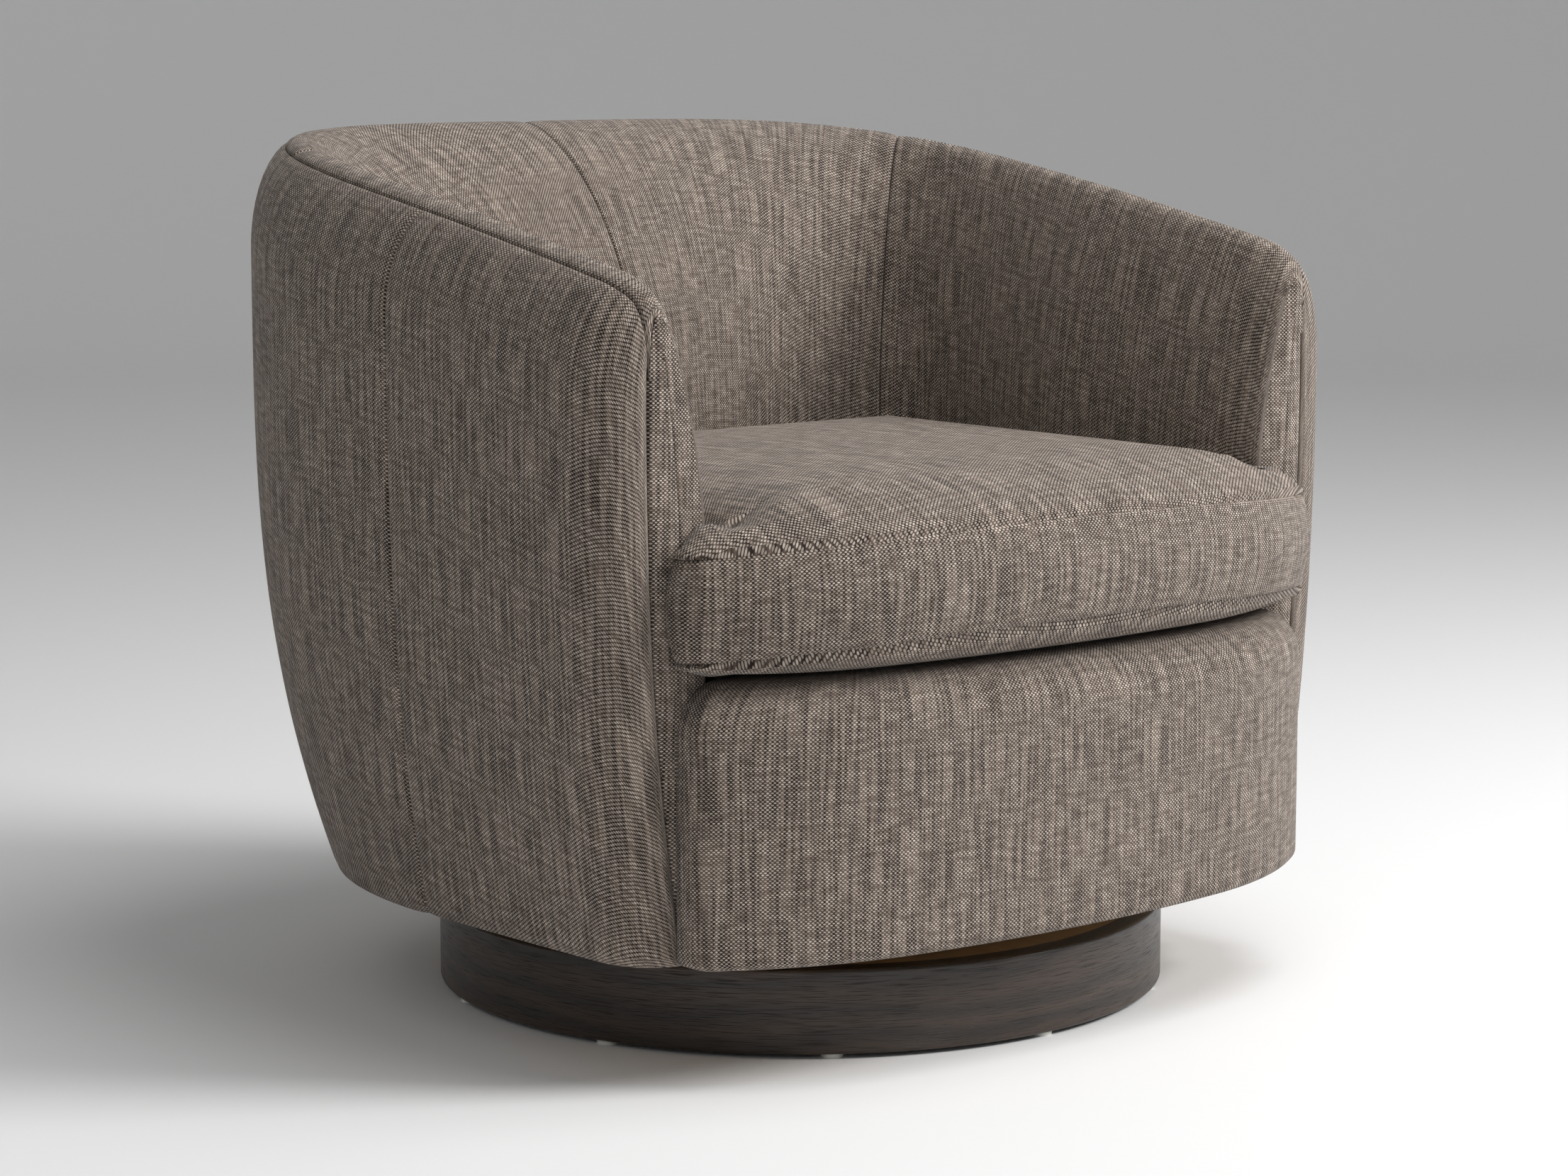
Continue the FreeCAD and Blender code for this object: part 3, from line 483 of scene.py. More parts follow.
class Wall:
    """The right half of the barrel wall, at places along its plan path from the middle of the back."""

    def __init__(self, path):
        self.angle = (1.0 - np.clip(path / BACK_RUN, 0.0, 1.0)) * math.pi / 2.0
        along = np.clip(path - BACK_RUN, 0.0, ARM_RUN)
        turn = np.clip((path - BACK_RUN - ARM_RUN) / ROUND_RUN, 0.0, 1.0) * math.pi / 2.0
        self.forward = along + ARM_ROUND * np.sin(turn)
        self.drawn = ARM_ROUND * (1.0 - np.cos(turn))
        self.crest = superellipse_reach(self.angle, CREST_OUTLINE)
        crest_y = self.crest * np.sin(self.angle) - self.forward
        run = np.maximum((CREST_OUTLINE[1] - crest_y) / (CREST_OUTLINE[1] - CREST_FRONT_Y), 0.0)
        self.top = CREST_BACK - (CREST_BACK - CREST_FRONT) * run ** CREST_FALL_POWER

    def outside(self, height):
        """Reach of the outside: the belly outline, drawn in below the belly and a little above it."""
        below = np.maximum(BELLY_HEIGHT - height, 0.0) / (BELLY_HEIGHT - HEM_HEIGHT)
        above = np.maximum(height - BELLY_HEIGHT, 0.0) / (CREST_BACK - BELLY_HEIGHT)
        pull = HEM_DRAW_SHARE * below ** HEM_DRAW_POWER
        outline = (
            BELLY_OUTLINE[0] - HEM_DRAW[0] * pull - TOP_DRAW * above ** 2,
            BELLY_OUTLINE[1] - HEM_DRAW[1] * pull - TOP_DRAW * above ** 2,
            BELLY_OUTLINE[2] - HEM_DRAW[2] * pull,
        )
        return superellipse_reach(self.angle, outline) - ARM_TAPER * (self.forward / ARM_FRONT_Y) ** 2

    def place(self, reach, height):
        """Points at a reach and a height: reach along the ray, moved forward along the arm."""
        x = reach * np.cos(self.angle)
        y = reach * np.sin(self.angle) - self.forward
        return np.stack(np.broadcast_arrays(x, y, height), axis=-1)

    def profile(self, stretch, bottom):
        """Points of the profile: the whole part of a stretch value names the stretch, the rest is its share.

        The lip and the foot are straight, the hem round is a quarter circle, the others are cubic curves."""
        low = HEM_HEIGHT + HEM_ROUND
        roll_start = self.top - ROLL_HEIGHT
        crest_top = self.top - TOP_ROUND_SHARE * self.drawn
        hem = self.outside(low) - self.drawn
        slope = (self.outside(low + SLOPE_STEP) - self.outside(low)) / SLOPE_STEP
        edge = self.outside(roll_start) - self.drawn
        climb = OUTSIDE_HANDLE * (roll_start - low)
        backward = (self.top - CREST_FRONT) / (CREST_BACK - CREST_FRONT)
        crest_handle = CREST_HANDLES[0] + (CREST_HANDLES[1] - CREST_HANDLES[0]) * backward
        foot_handle = FOOT_HANDLES[0] + (FOOT_HANDLES[1] - FOOT_HANDLES[0]) * backward
        foot_rise = foot_handle * (crest_top - FOOT_HEIGHT)
        foot = superellipse_reach(self.angle, WELL_OUTLINE) + INSIDE_ROUND_SHARE * self.drawn
        roll_reach = self.crest + ROUND_HANDLE * (edge - self.crest)
        roll_rise = ROUND_HANDLE * (crest_top - roll_start)
        share = stretch - np.floor(np.minimum(stretch, FOOT_START))
        arc = share * math.pi / 2.0
        reaches = [
            hem - HEM_LIP + (HEM_LIP - HEM_ROUND) * share,
            hem - HEM_ROUND + HEM_ROUND * np.sin(arc),
            cubic(hem, hem + slope * climb, edge, edge, share),
            cubic(edge, edge, roll_reach, self.crest, share),
            cubic(self.crest, self.crest - crest_handle * (self.crest - foot), foot, foot, share),
            foot + 0.0 * share,
        ]
        heights = [
            HEM_HEIGHT + 0.0 * share,
            HEM_HEIGHT + HEM_ROUND * (1.0 - np.cos(arc)),
            cubic(low, low + climb, roll_start - climb, roll_start, share),
            cubic(roll_start, roll_start + roll_rise, crest_top, crest_top, share),
            cubic(crest_top, crest_top, FOOT_HEIGHT + foot_rise, FOOT_HEIGHT, share),
            FOOT_HEIGHT + (bottom - FOOT_HEIGHT) * share,
        ]
        index = np.clip(np.floor(stretch), LIP_START, FOOT_START).astype(int)
        return self.place(np.choose(index, reaches), np.choose(index, heights))


def graded(start, stop, spacing, near_start=True, near_stop=True):
    """Positions from start to stop, evenly spaced but close together beside the ends that are seams."""
    offsets = np.array(SEAM_OFFSETS)
    first = offsets if near_start else offsets[:1]
    last = offsets if near_stop else offsets[:1]
    inner_start = start + first[-1]
    inner_stop = stop - last[-1]
    count = max(int(round((inner_stop - inner_start) / spacing)), 2)
    middle = np.linspace(inner_start, inner_stop, count + 1)
    return np.concatenate([start + first[:-1], middle, (stop - last[:-1])[::-1]])


def profile_rows(path, start, stop, bottom, spacing):
    """Rows along the profile from a seam: each column's stretch values and their lengths from the seam.

    The rows beside the seam keep their lengths, and the rest are spread evenly to each column's end."""
    shares = np.linspace(0.0, 1.0, PROFILE_SAMPLES)[None, :]
    values = start[:, None] + (stop - start[:, None]) * shares
    points = Wall(np.broadcast_to(path[:, None], values.shape)).profile(values, bottom)
    steps = np.linalg.norm(np.diff(points, axis=1), axis=-1)
    runs = np.concatenate([np.zeros((len(path), 1)), np.cumsum(steps, axis=1)], axis=1)
    rows = graded(0.0, runs[:, -1].max(), spacing, True, False)
    beside = len(SEAM_OFFSETS) - 1
    low = rows[beside]
    inner = low + (rows[beside:] - low) * (runs[:, -1:] - low) / (rows[-1] - low)
    lengths = np.concatenate([np.broadcast_to(rows[:beside], (len(path), beside)), inner], axis=1)
    stretch = np.array([np.interp(*column) for column in zip(lengths, runs, values)])
    return stretch, lengths


def surface_normals(points):
    """Unit normals of a grid: the cross product of its differences along both ways."""
    along = np.gradient(points, axis=0)
    across = np.gradient(points, axis=1)
    normals = np.cross(along, across)
    size = np.linalg.norm(normals, axis=-1, keepdims=True)
    return normals / np.maximum(size, 1e-12)


def seam_depth(distance, settings):
    """Depth of a seam at a distance: a quarter round of the seam radius plus a pull that fades away."""
    inside = np.clip(settings.seam_round - distance, 0.0, settings.seam_round)
    roll = settings.seam_round - np.sqrt(np.maximum(settings.seam_round ** 2 - inside ** 2, 0.0))
    return roll + settings.seam_pull * np.exp(-distance / SEAM_FADE)


def grid_faces(rows, columns, offset=0):
    """Corner numbers of the quads of a grid, row by row."""
    row = np.arange(rows - 1)[:, None]
    column = np.arange(columns - 1)[None, :]
    corner = row * columns + column + offset
    quads = np.stack([corner, corner + 1, corner + columns + 1, corner + columns], axis=-1)
    return quads.reshape(-1, 4)


class Cover:
    """Collects grids with metric UVs and makes one welded mesh object of them."""

    def __init__(self):
        self.points = []
        self.uvs = []
        self.faces = []
        self.count = 0

    def add(self, points, uvs, flip=False):
        """Adds a grid; flip turns its faces round, so that they point outward."""
        rows, columns = points.shape[:2]
        faces = grid_faces(rows, columns, self.count)
        self.points.append(points.reshape(-1, 3))
        self.uvs.append(uvs.reshape(-1, 2))
        self.faces.append(faces[:, ::-1] if flip else faces)
        self.count += rows * columns

    def make(self, name, mirrored=False):
        """Makes the object of all its grids, or of their mirror image."""
        points = np.concatenate(self.points)
        uvs = np.concatenate(self.uvs)
        faces = np.concatenate(self.faces)
        if mirrored:
            points = points * MIRROR
            faces = faces[:, ::-1]
        mesh = bpy.data.meshes.new(name)
        mesh.from_pydata(points.tolist(), [], faces.tolist())
        layer = mesh.uv_layers.new(name="weave")
        layer.data.foreach_set("uv", uvs[faces.reshape(-1)].reshape(-1).astype(np.float32))
        mesh.polygons.foreach_set("use_smooth", np.ones(len(faces), dtype=bool))
        work = bmesh.new()
        work.from_mesh(mesh)
        bmesh.ops.remove_doubles(work, verts=work.verts, dist=WELD_DISTANCE)
        bmesh.ops.dissolve_degenerate(work, edges=work.edges, dist=SLIVER_DISTANCE)
        work.to_mesh(mesh)
        work.free()
        piece = bpy.data.objects.new(name, mesh)
        bpy.context.scene.collection.objects.link(piece)
        return piece


def cloth(piece, body, node, settings):
    """Gives a cover its thickness and finish and its body, and hides the soft CAD solid that it stands for.
    """
    solid = piece.modifiers.new("cloth", "SOLIDIFY")
    solid.thickness = settings.cloth_thickness
    solid.offset = -1.0
    piece.data.materials.append(bpy.data.materials["woven_tweed"])
    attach(piece, body)
    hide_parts(node)


def top_seam(path):
    """Profile stretch of the top seam along the path; it turns down in a round at the arm front."""
    near = np.clip((path - (PATH_END - SEAM_CORNER_RUN)) / SEAM_CORNER_RUN, 0.0, 1.0)
    return TOP_SEAM - (TOP_SEAM - SEAM_CORNER) * (1.0 - np.sqrt(1.0 - near ** 2))


def wall_panel(path_start, path_stop, path_seams, stop, bottom, settings):
    """Grid of a panel of the wall: columns along the path, rows from the top seam to a stretch value.

    Each point is moved into the padding by the depth of the nearest edge that is a seam. The normals of
    the grid point into the padding on an inside panel and out of it on an outside one."""
    path = graded(path_start, path_stop, settings.spacing, *path_seams)
    stretch, lengths = profile_rows(path, top_seam(path), stop, bottom, settings.spacing)
    columns = np.repeat(path[:, None], lengths.shape[1], axis=1)
    points = Wall(columns).profile(stretch, bottom)
    near = lengths
    for is_seam, distance in zip(path_seams, (columns - path_start, path_stop - columns)):
        if is_seam:
            near = np.minimum(near, distance)
    sign = math.copysign(1.0, stop - TOP_SEAM)
    points = points + sign * surface_normals(points) * seam_depth(near, settings)[..., None]
    return points, np.stack([columns, sign * lengths], axis=-1)


def arm_front_face(settings):
    """The padded arm front, from its edge to the line midway between the outside and the inside.

    Its outer edge is a seam, and away from the edge it swells forward by a quarter sine."""
    stretch = np.concatenate([
        np.linspace(HEM_START, ROLL_START, OUTSIDE_EDGE_POINTS),
        np.linspace(ROLL_START, FOOT_START, INSIDE_EDGE_POINTS)[1:],
        np.linspace(FOOT_START, FOOT_LAST, FOOT_EDGE_POINTS)[1:],
    ])
    wall = Wall(np.full_like(stretch, PATH_END))
    edge = wall.profile(stretch, HEM_HEIGHT)
    outer = edge[stretch < ROLL_START]
    inner = edge[stretch > INSIDE_START]
    heights = np.minimum(edge[:, 2], wall.top - ARM_FACE_DROP)
    outer_x = np.interp(heights, outer[:, 2], outer[:, 0])
    inner_x = np.interp(heights, inner[::-1, 2], inner[::-1, 0])
    middle_x = (outer_x + inner_x) / 2.0
    middle = np.stack([middle_x, np.full_like(heights, ARM_FRONT_Y), heights], axis=-1)
    across = middle - edge
    shares = np.array(ARM_FACE_SHARES)[None, :]
    points = edge[:, None, :] + across[:, None, :] * shares[..., None]
    distance = np.linalg.norm(across, axis=1)[:, None] * shares
    on_seam = (stretch < SEAM_CORNER)[:, None]
    depth = np.where(on_seam, seam_depth(distance, settings), 0.0)
    swell = ARM_FACE_SWELL * np.sin(np.minimum(distance / ARM_FACE_SWELL_RUN, 1.0) * math.pi / 2.0)
    points[..., 1] += depth - swell
    return points, points[..., [0, 2]]


class ROCKER_OT_barrel_covers(bpy.types.Operator):
    """Build the sewn covers of the barrel, outside and inside"""

    bl_idname = "rocker.barrel_covers"
    bl_label = "Barrel covers"

    def execute(self, context):
        settings = context.scene.rocker_cover
        points, uvs = wall_panel(0.0, SIDE_SEAM_PATH, (False, True), LIP_START, HEM_HEIGHT, settings)
        back = Cover()
        back.add(points, uvs, flip=True)
        back.add(points * MIRROR, uvs * MIRROR_UV)
        cloth(back.make("outside_back_cover"), "seat", "outside_back", settings)
        outside_arm = Cover()
        outside_arm.add(
            *wall_panel(SIDE_SEAM_PATH, PATH_END, (True, True), LIP_START, HEM_HEIGHT, settings), flip=True)
        inside_arm = Cover()
        inside_arm.add(
            *wall_panel(CORNER_SEAM_PATH, PATH_END, (True, False), FOOT_STOP, INSIDE_BOTTOM, settings))
        inside_arm.add(*arm_front_face(settings), flip=True)
        inside_back = Cover()
        inside_back.add(
            *wall_panel(0.0, CORNER_SEAM_PATH, (True, True), FOOT_STOP, INSIDE_BOTTOM, settings))
        covers = {"outside_arm": outside_arm, "inside_arm": inside_arm, "inside_back": inside_back}
        for side, mirrored in (("right", False), ("left", True)):
            for name, cover in covers.items():
                piece = cover.make(f"{name}_cover_{side}", mirrored)
                cloth(piece, "seat", f"{name}_{side}", settings)
        return {"FINISHED"}


def bow_y(x):
    """The bowed front line: a wide arc in the middle and a tighter arc tangent to it on each side."""
    turn = math.asin(FRONT_BOW_HALF / FRONT_BOW)
    reach = FRONT_BOW - FRONT_CORNER_BOW
    inner_x = np.minimum(np.abs(x), FRONT_BOW_HALF)
    wide = FRONT_CENTRE_Y + FRONT_BOW - np.sqrt(FRONT_BOW ** 2 - inner_x ** 2)
    side_x = np.abs(x) - reach * math.sin(turn)
    side_centre_y = FRONT_CENTRE_Y + FRONT_BOW - reach * math.cos(turn)
    tight = side_centre_y - np.sqrt(FRONT_CORNER_BOW ** 2 - side_x ** 2)
    return np.where(np.abs(x) <= FRONT_BOW_HALF, wide, tight)


def run_lengths(points):
    """Length along a polyline from its start to each of its points."""
    steps = np.linalg.norm(np.diff(points, axis=0), axis=1)
    return np.concatenate([[0.0], np.cumsum(steps)])


def even_path(points, spacing):
    """A polyline resampled at even lengths, with those lengths."""
    run = run_lengths(points)
    count = max(int(round(run[-1] / spacing)), 4)
    wanted = np.linspace(0.0, run[-1], count + 1)
    parts = [np.interp(wanted, run, points[:, axis]) for axis in range(points.shape[1])]
    return np.stack(parts, axis=-1), wanted


def rounded(points, radii, spacing):
    """A polyline whose corners are replaced by arcs of the given radii, resampled evenly."""
    result = [points[0]]
    for before, corner, after, radius in zip(points, points[1:], points[2:], radii):
        to_before = (before - corner) / np.linalg.norm(before - corner)
        to_after = (after - corner) / np.linalg.norm(after - corner)
        half = math.acos(np.clip(np.dot(to_before, to_after), -1.0, 1.0)) / 2.0
        if radius <= 0.0 or abs(half - math.pi / 2.0) < STRAIGHT_ANGLE:
            result.append(corner)
            continue
        reach = radius / math.tan(half)
        bisector = (to_before + to_after) / np.linalg.norm(to_before + to_after)
        centre = corner + bisector * radius / math.sin(half)
        start = corner + to_before * reach - centre
        stop = corner + to_after * reach - centre
        for share in np.linspace(0.0, 1.0, ARC_POINTS):
            way = start * (1.0 - share) + stop * share
            result.append(centre + way / np.linalg.norm(way) * radius)
    result.append(points[-1])
    return even_path(np.array(result), spacing)


def front_plan():
    """Plan line of the front: up the left return, round the corner, along the bow and back on the right."""
    across = np.linspace(-FRONT_HALF, FRONT_HALF, FRONT_BOW_POINTS)
    bow = np.stack([across, bow_y(across)], axis=-1)
    points = np.concatenate([[[-FRONT_HALF, FRONT_BACK_Y]], bow, [[FRONT_HALF, FRONT_BACK_Y]]])
    radii = [FRONT_CORNER_ROUND] + [0.0] * (len(bow) - 2) + [FRONT_CORNER_ROUND]
    return rounded(points, radii, FRONT_PLAN_SPACING)


class ROCKER_OT_front_cover(bpy.types.Operator):
    """Build the padded front panel below the cushion"""

    bl_idname = "rocker.front_cover"
    bl_label = "Front panel cover"

    def execute(self, context):
        settings = context.scene.rocker_cover
        plan, along = front_plan()
        outline = np.array([
            [HEM_LIP, HEM_HEIGHT], [0.0, HEM_HEIGHT], [0.0, FRONT_TOP], [FRONT_TOP_RUN, FRONT_TOP],
        ])
        profile, up = rounded(outline, [HEM_ROUND, FRONT_TOP_ROUND], FRONT_PROFILE_SPACING)
        inset = profile[:, 0]
        heights = profile[:, 1]
        seam_distance = np.abs(heights - (FRONT_TOP - FRONT_SEAM_DROP))
        depth = FRONT_SEAM_DEPTH * np.exp(-(seam_distance / FRONT_SEAM_WIDTH) ** 2)
        shrink_x = 1.0 - inset / FRONT_HALF
        shrink_y = 1.0 - (inset + depth) / (FRONT_BACK_Y - FRONT_CENTRE_Y)
        x = plan[:, :1] * shrink_x[None, :]
        y = FRONT_BACK_Y + (plan[:, 1:] - FRONT_BACK_Y) * shrink_y[None, :]
        z = np.repeat(heights[None, :], len(plan), axis=0)
        uvs = np.stack(np.broadcast_arrays(along[:, None], up[None, :]), axis=-1)
        cover = Cover()
        cover.add(np.stack([x, y, z], axis=-1), uvs, flip=True)
        cloth(cover.make("front_panel_cover"), "seat", "front_panel", settings)
        return {"FINISHED"}


def side_round(distance, radius):
    """How far a quarter round lies inside the straight side at a distance before the corner's end."""
    inside = np.clip(radius - distance, 0.0, radius)
    return radius - np.sqrt(np.maximum(radius ** 2 - inside ** 2, 0.0))


def cushion_plan():
    """Plan grid of the T: straight rows from the back to the ears, then rows that bend towards the bow."""
    body_length = CUSHION_BACK_Y - EAR_BACK_Y
    ear_side = EAR_BACK_Y - float(bow_y(np.array(EAR_HALF)))
    rear = CUSHION_REAR_ROUND * (1.0 - np.cos(np.linspace(0.0, math.pi / 2.0, REAR_ROUND_ROWS)))
    straight = graded(0.0, body_length - EAR_STEP, CUSHION_SPACING, True, False)
    body = np.unique(np.round(np.concatenate([straight, rear]), 6))
    body_half = CUSHION_HALF - side_round(body, CUSHION_REAR_ROUND)
    ear = graded(0.0, ear_side, EAR_SPACING, False, True)
    ear_half = EAR_HALF - side_round(ear, EAR_BACK_ROUND) - side_round(ear_side - ear, EAR_ROUND)
    half = np.concatenate([body_half, ear_half])[:, None]
    positions = graded(-CUSHION_HALF, CUSHION_HALF, CUSHION_SPACING) / CUSHION_HALF
    x = half * positions[None, :]
    body_y = np.repeat((CUSHION_BACK_Y - body)[:, None], len(positions), axis=1)
    share = (ear / ear_side)[:, None]
    front = bow_y(x[len(body):]) - CUSHION_PROUD
    ear_y = EAR_BACK_Y + share * (front - EAR_BACK_Y)
    return np.stack([x, np.concatenate([body_y, ear_y])], axis=-1)


def grid_border(grid):
    """The points round the edge of a grid, once round and closed."""
    return np.concatenate([grid[0, :-1], grid[:-1, -1], grid[-1, :0:-1], grid[:0:-1, 0], grid[:1, 0]])


def with_border(grid, border):
    """The same grid with its edge points replaced by a border in the order of grid_border."""
    rows, columns = grid.shape[:2]
    stops = np.cumsum([columns - 1, rows - 1, columns - 1])
    first, second, third, fourth = np.split(border[:-1], stops)
    result = grid.copy()
    result[0, :-1] = first
    result[:-1, -1] = second
    result[-1, :0:-1] = third
    result[:0:-1, 0] = fourth
    return result


def outward_ways(border):
    """Unit ways outward along a closed border: the line between each point's neighbours, turned square."""
    ahead = np.roll(border[:-1], -1, axis=0) - np.roll(border[:-1], 1, axis=0)
    ahead = np.concatenate([ahead, ahead[:1]])
    outward = np.stack([-ahead[:, 1], ahead[:, 0]], axis=-1)
    return outward / np.linalg.norm(outward, axis=1, keepdims=True)


def seam_height(x, heights):
    """A seam's height: highest in the middle, falling to the ears with the square of x."""
    return heights[0] + (heights[1] - heights[0]) * (x / EAR_HALF) ** 2


def edge_distance(points, outline):
    """Distance in plan from every point to the nearest point of the outline."""
    flat = points.reshape(-1, 1, 2)
    near = [
        np.min(np.linalg.norm(part - outline[None, :, :], axis=-1), axis=1)
        for part in np.array_split(flat, DISTANCE_PARTS)
    ]
    return np.concatenate(near).reshape(points.shape[:2])


def cushion_band(plan, outward, settings, bulge):
    """The border band from the lower seam to the upper: it swells by a half sine and is drawn in at both."""
    along = run_lengths(plan)
    rows = graded(0.0, BAND_HEIGHT, BAND_SPACING)
    swell = bulge * np.sin(math.pi * rows / rows[-1])
    drawn = swell - seam_depth(np.minimum(rows, rows[-1] - rows), settings)
    place = plan[:, None, :] + outward[:, None, :] * drawn[None, :, None]
    lower = seam_height(plan[:, :1], LOWER_SEAM)
    upper = seam_height(plan[:, :1], UPPER_SEAM)
    height = lower + (upper - lower) * (rows / rows[-1])[None, :]
    uvs = np.stack(np.broadcast_arrays(along[:, None], rows[None, :]), axis=-1)
    return np.concatenate([place, height[..., None]], axis=-1), uvs


class ROCKER_OT_cushion(bpy.types.Operator):
    """Build the loose T cushion with its border band and two seams"""

    bl_idname = "rocker.cushion"
    bl_label = "Seat cushion"

    def execute(self, context):
        settings = context.scene.rocker_cover
        looks = context.scene.rocker_looks
        grid = cushion_plan()
        plan = grid_border(grid)
        outward = outward_ways(plan)
        cover = Cover()
        cover.add(*cushion_band(plan, outward, settings, looks.band_bulge))
        near = edge_distance(grid, plan)
        depth = seam_depth(near, settings)
        edge_depth = float(seam_depth(np.zeros(1), settings)[0])
        place = with_border(grid, plan - outward * edge_depth)
        # From the seam's height the top and the underside settle to their goals by an exponential of distance
        for sign, heights, goal, run in (
            (1.0, UPPER_SEAM, CUSHION_CROWN, looks.crown_run),
            (-1.0, LOWER_SEAM, CUSHION_LOW, looks.under_run),
        ):
            start = seam_height(grid[..., 0], heights)
            settle = goal - sign * 0.5 * edge_depth - start
            height = start + settle * (1.0 - np.exp(-near / run)) + sign * 0.5 * (edge_depth - depth)
            points = np.concatenate([place, height[..., None]], axis=-1)
            cover.add(points, grid, flip=(sign > 0.0))
        cloth(cover.make("seat_cushion_cover"), "cushion", "seat_cushion", settings)
        return {"FINISHED"}


def turned(profile, segments):
    """A profile of radius and height carried once round the upright axis, with the angles of its places."""
    turn = np.linspace(0.0, 2.0 * math.pi, segments + 1)
    x = profile[None, :, 0] * np.cos(turn)[:, None]
    y = profile[None, :, 0] * np.sin(turn)[:, None]
    z = np.repeat(profile[None, :, 1], len(turn), axis=0)
    return np.stack([x, y, z], axis=-1), turn


class ROCKER_OT_plinth(bpy.types.Operator):
    """Build the bent oak hoop of the plinth with eased edges"""

    bl_idname = "rocker.plinth"
    bl_label = "Plinth hoop"

    def execute(self, context):
        looks = context.scene.rocker_looks
        inner = PLINTH_RADIUS - PLINTH_WALL
        middle = (PLINTH_LOW + PLINTH_TOP) / 2.0
        outline = np.array([
            [inner, middle], [inner, PLINTH_LOW], [PLINTH_RADIUS, PLINTH_LOW],
            [PLINTH_RADIUS, PLINTH_TOP], [inner, PLINTH_TOP], [inner, middle],
        ])
        profile, up = rounded(outline, [PLINTH_EDGE] * 4, PLINTH_PROFILE_SPACING)
        points, turn = turned(profile, looks.plinth_segments)
        uvs = np.stack(np.broadcast_arrays((turn * PLINTH_RADIUS)[:, None], up[None, :]), axis=-1)
        cover = Cover()
        cover.add(points, uvs, flip=True)
        piece = cover.make("plinth_hoop")
        piece.data.materials.append(bpy.data.materials["stained_oak"])
        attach(piece, "base")
        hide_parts("plinth_ring")
        return {"FINISHED"}


class ROCKER_OT_finishes(bpy.types.Operator):
    """Give every CAD piece the finish of its slot"""

    bl_idname = "rocker.finishes"
    bl_label = "CAD finishes"

    def execute(self, context):
        finishes = node_finishes()
        for part in frame["record"]["subparts"]:
            piece = frame["nodes"][part["node"]]
            piece.data.materials.clear()
            piece.data.materials.append(finishes[part["material_slot"]])
        return {"FINISHED"}


def area_light(name, place, target, size, power):
    """A round soft light at a place that shines towards a target."""
    lamp = bpy.data.lights.new(name, "AREA")
    lamp.shape = "DISK"
    lamp.size = size
    lamp.energy = power
    holder = bpy.data.objects.new(name, lamp)
    holder.location = place
    holder.rotation_euler = (Vector(target) - Vector(place)).to_track_quat("-Z", "Y").to_euler()
    bpy.context.scene.collection.objects.link(holder)
    return holder


def backdrop_bowl():
    """The round floor, bent up by a quarter circle into an upright wall."""
    bend = np.linspace(0.0, math.pi / 2.0, BOWL_BEND_POINTS)
    radius = BOWL_RADIUS - BOWL_BEND * (1.0 - np.sin(bend))
    height = BOWL_BEND * (1.0 - np.cos(bend))
    rise = np.stack([radius, height], axis=-1)
    profile = np.concatenate([[[0.0, 0.0]], rise, [[BOWL_RADIUS, BOWL_HEIGHT]]])
    points, turn = turned(profile, BOWL_SEGMENTS)
    mesh = bpy.data.meshes.new("backdrop")
    mesh.from_pydata(points.reshape(-1, 3).tolist(), [], grid_faces(len(turn), len(profile)).tolist())
    mesh.polygons.foreach_set("use_smooth", np.ones(len(mesh.polygons), dtype=bool))
    mesh.materials.append(Finish("paper", Roughness=0.9, Base_Color=PAPER_COLOUR).material)
    backdrop = bpy.data.objects.new("backdrop", mesh)
    bpy.context.scene.collection.objects.link(backdrop)
    return backdrop


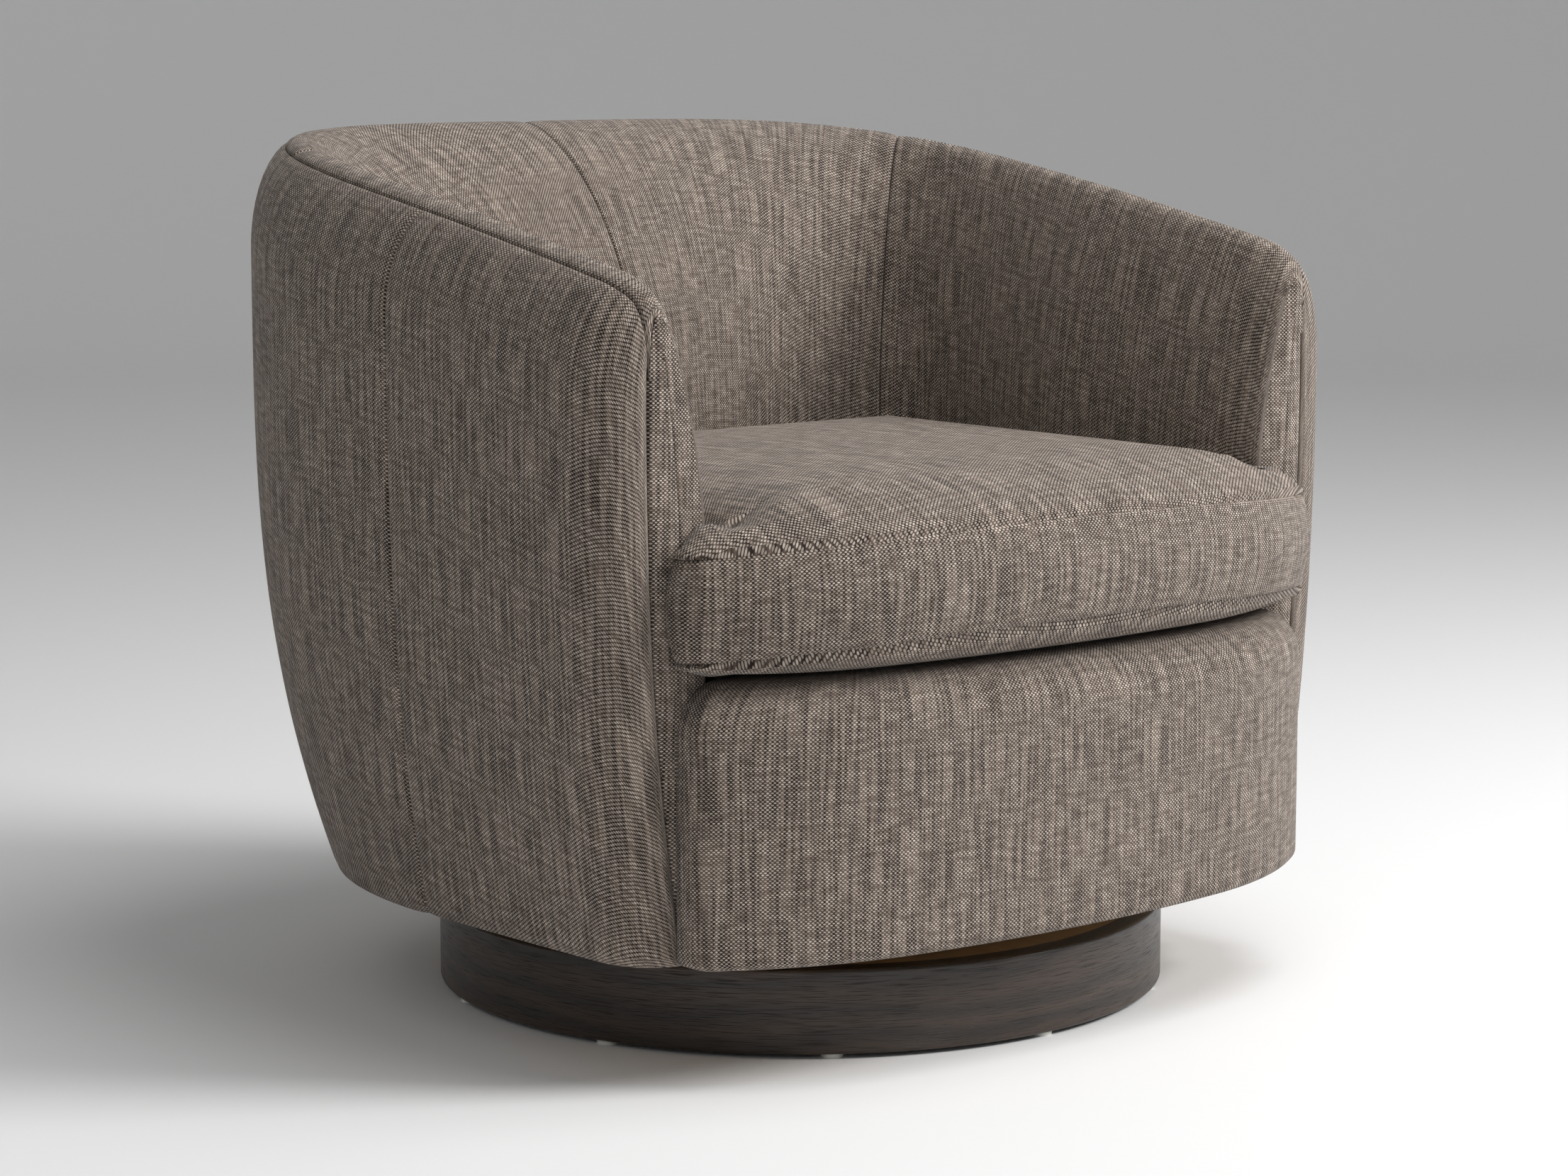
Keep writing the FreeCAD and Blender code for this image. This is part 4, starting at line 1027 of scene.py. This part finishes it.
class ROCKER_OT_stage(bpy.types.Operator):
    """Build the pale floor and backdrop, the lights and the camera"""

    bl_idname = "rocker.stage"
    bl_label = "Stage"

    def execute(self, context):
        looks = context.scene.rocker_looks
        scene = context.scene
        backdrop_bowl()
        lights = [
            area_light("key", KEY_PLACE, SIDE_LIGHT_TARGET, KEY_SIZE, looks.key_power),
            area_light("fill", FILL_PLACE, SIDE_LIGHT_TARGET, FILL_SIZE, looks.fill_power),
            area_light("top", TOP_PLACE, TOP_LIGHT_TARGET, TOP_SIZE, TOP_POWER),
        ]
        world = bpy.data.worlds.new("studio")
        world.use_nodes = True
        background = world.node_tree.nodes["Background"]
        background.inputs["Color"].default_value = (1.0, 1.0, 1.0, 1.0)
        background.inputs["Strength"].default_value = WORLD_STRENGTH
        scene.world = world
        scene.view_settings.view_transform = "Standard"
        camera_data = bpy.data.cameras.new("camera")
        camera_data.lens = CAMERA_LENS
        camera = bpy.data.objects.new("camera", camera_data)
        camera.location = CAMERA_PLACE
        camera.rotation_euler = [math.radians(angle) for angle in CAMERA_DEGREES]
        scene.collection.objects.link(camera)
        scene.camera = camera
        return {"FINISHED"}


class ROCKER_PT_panel(bpy.types.Panel):
    """Sidebar panel with the settings and the builders"""

    bl_idname = "ROCKER_PT_panel"
    bl_label = "Swivel rocker"
    bl_space_type = "VIEW_3D"
    bl_region_type = "UI"
    bl_category = "Rocker"

    def draw(self, context):
        layout = self.layout
        for settings in (context.scene.rocker_cover, context.scene.rocker_looks):
            for name in settings.__annotations__:
                layout.prop(settings, name)
        for step in STEPS:
            layout.operator(step.bl_idname)


STEPS = (
    ROCKER_OT_barrel_covers,
    ROCKER_OT_front_cover,
    ROCKER_OT_cushion,
    ROCKER_OT_plinth,
    ROCKER_OT_finishes,
    ROCKER_OT_stage,
)
CLASSES = (CoverSettings, LookSettings) + STEPS + (ROCKER_PT_panel,)


def register():
    for cls in CLASSES:
        bpy.utils.register_class(cls)
    bpy.types.Scene.rocker_cover = PointerProperty(type=CoverSettings)
    bpy.types.Scene.rocker_looks = PointerProperty(type=LookSettings)


def unregister():
    del bpy.types.Scene.rocker_looks
    del bpy.types.Scene.rocker_cover
    for cls in reversed(CLASSES):
        bpy.utils.unregister_class(cls)


def main():
    register()
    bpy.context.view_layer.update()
    tweed()
    stained_oak()
    bpy.ops.rocker.barrel_covers()
    bpy.ops.rocker.front_cover()
    bpy.ops.rocker.cushion()
    bpy.ops.rocker.plinth()
    bpy.ops.rocker.finishes()
    bpy.ops.rocker.stage()


if __name__ == "__main__":
    main()
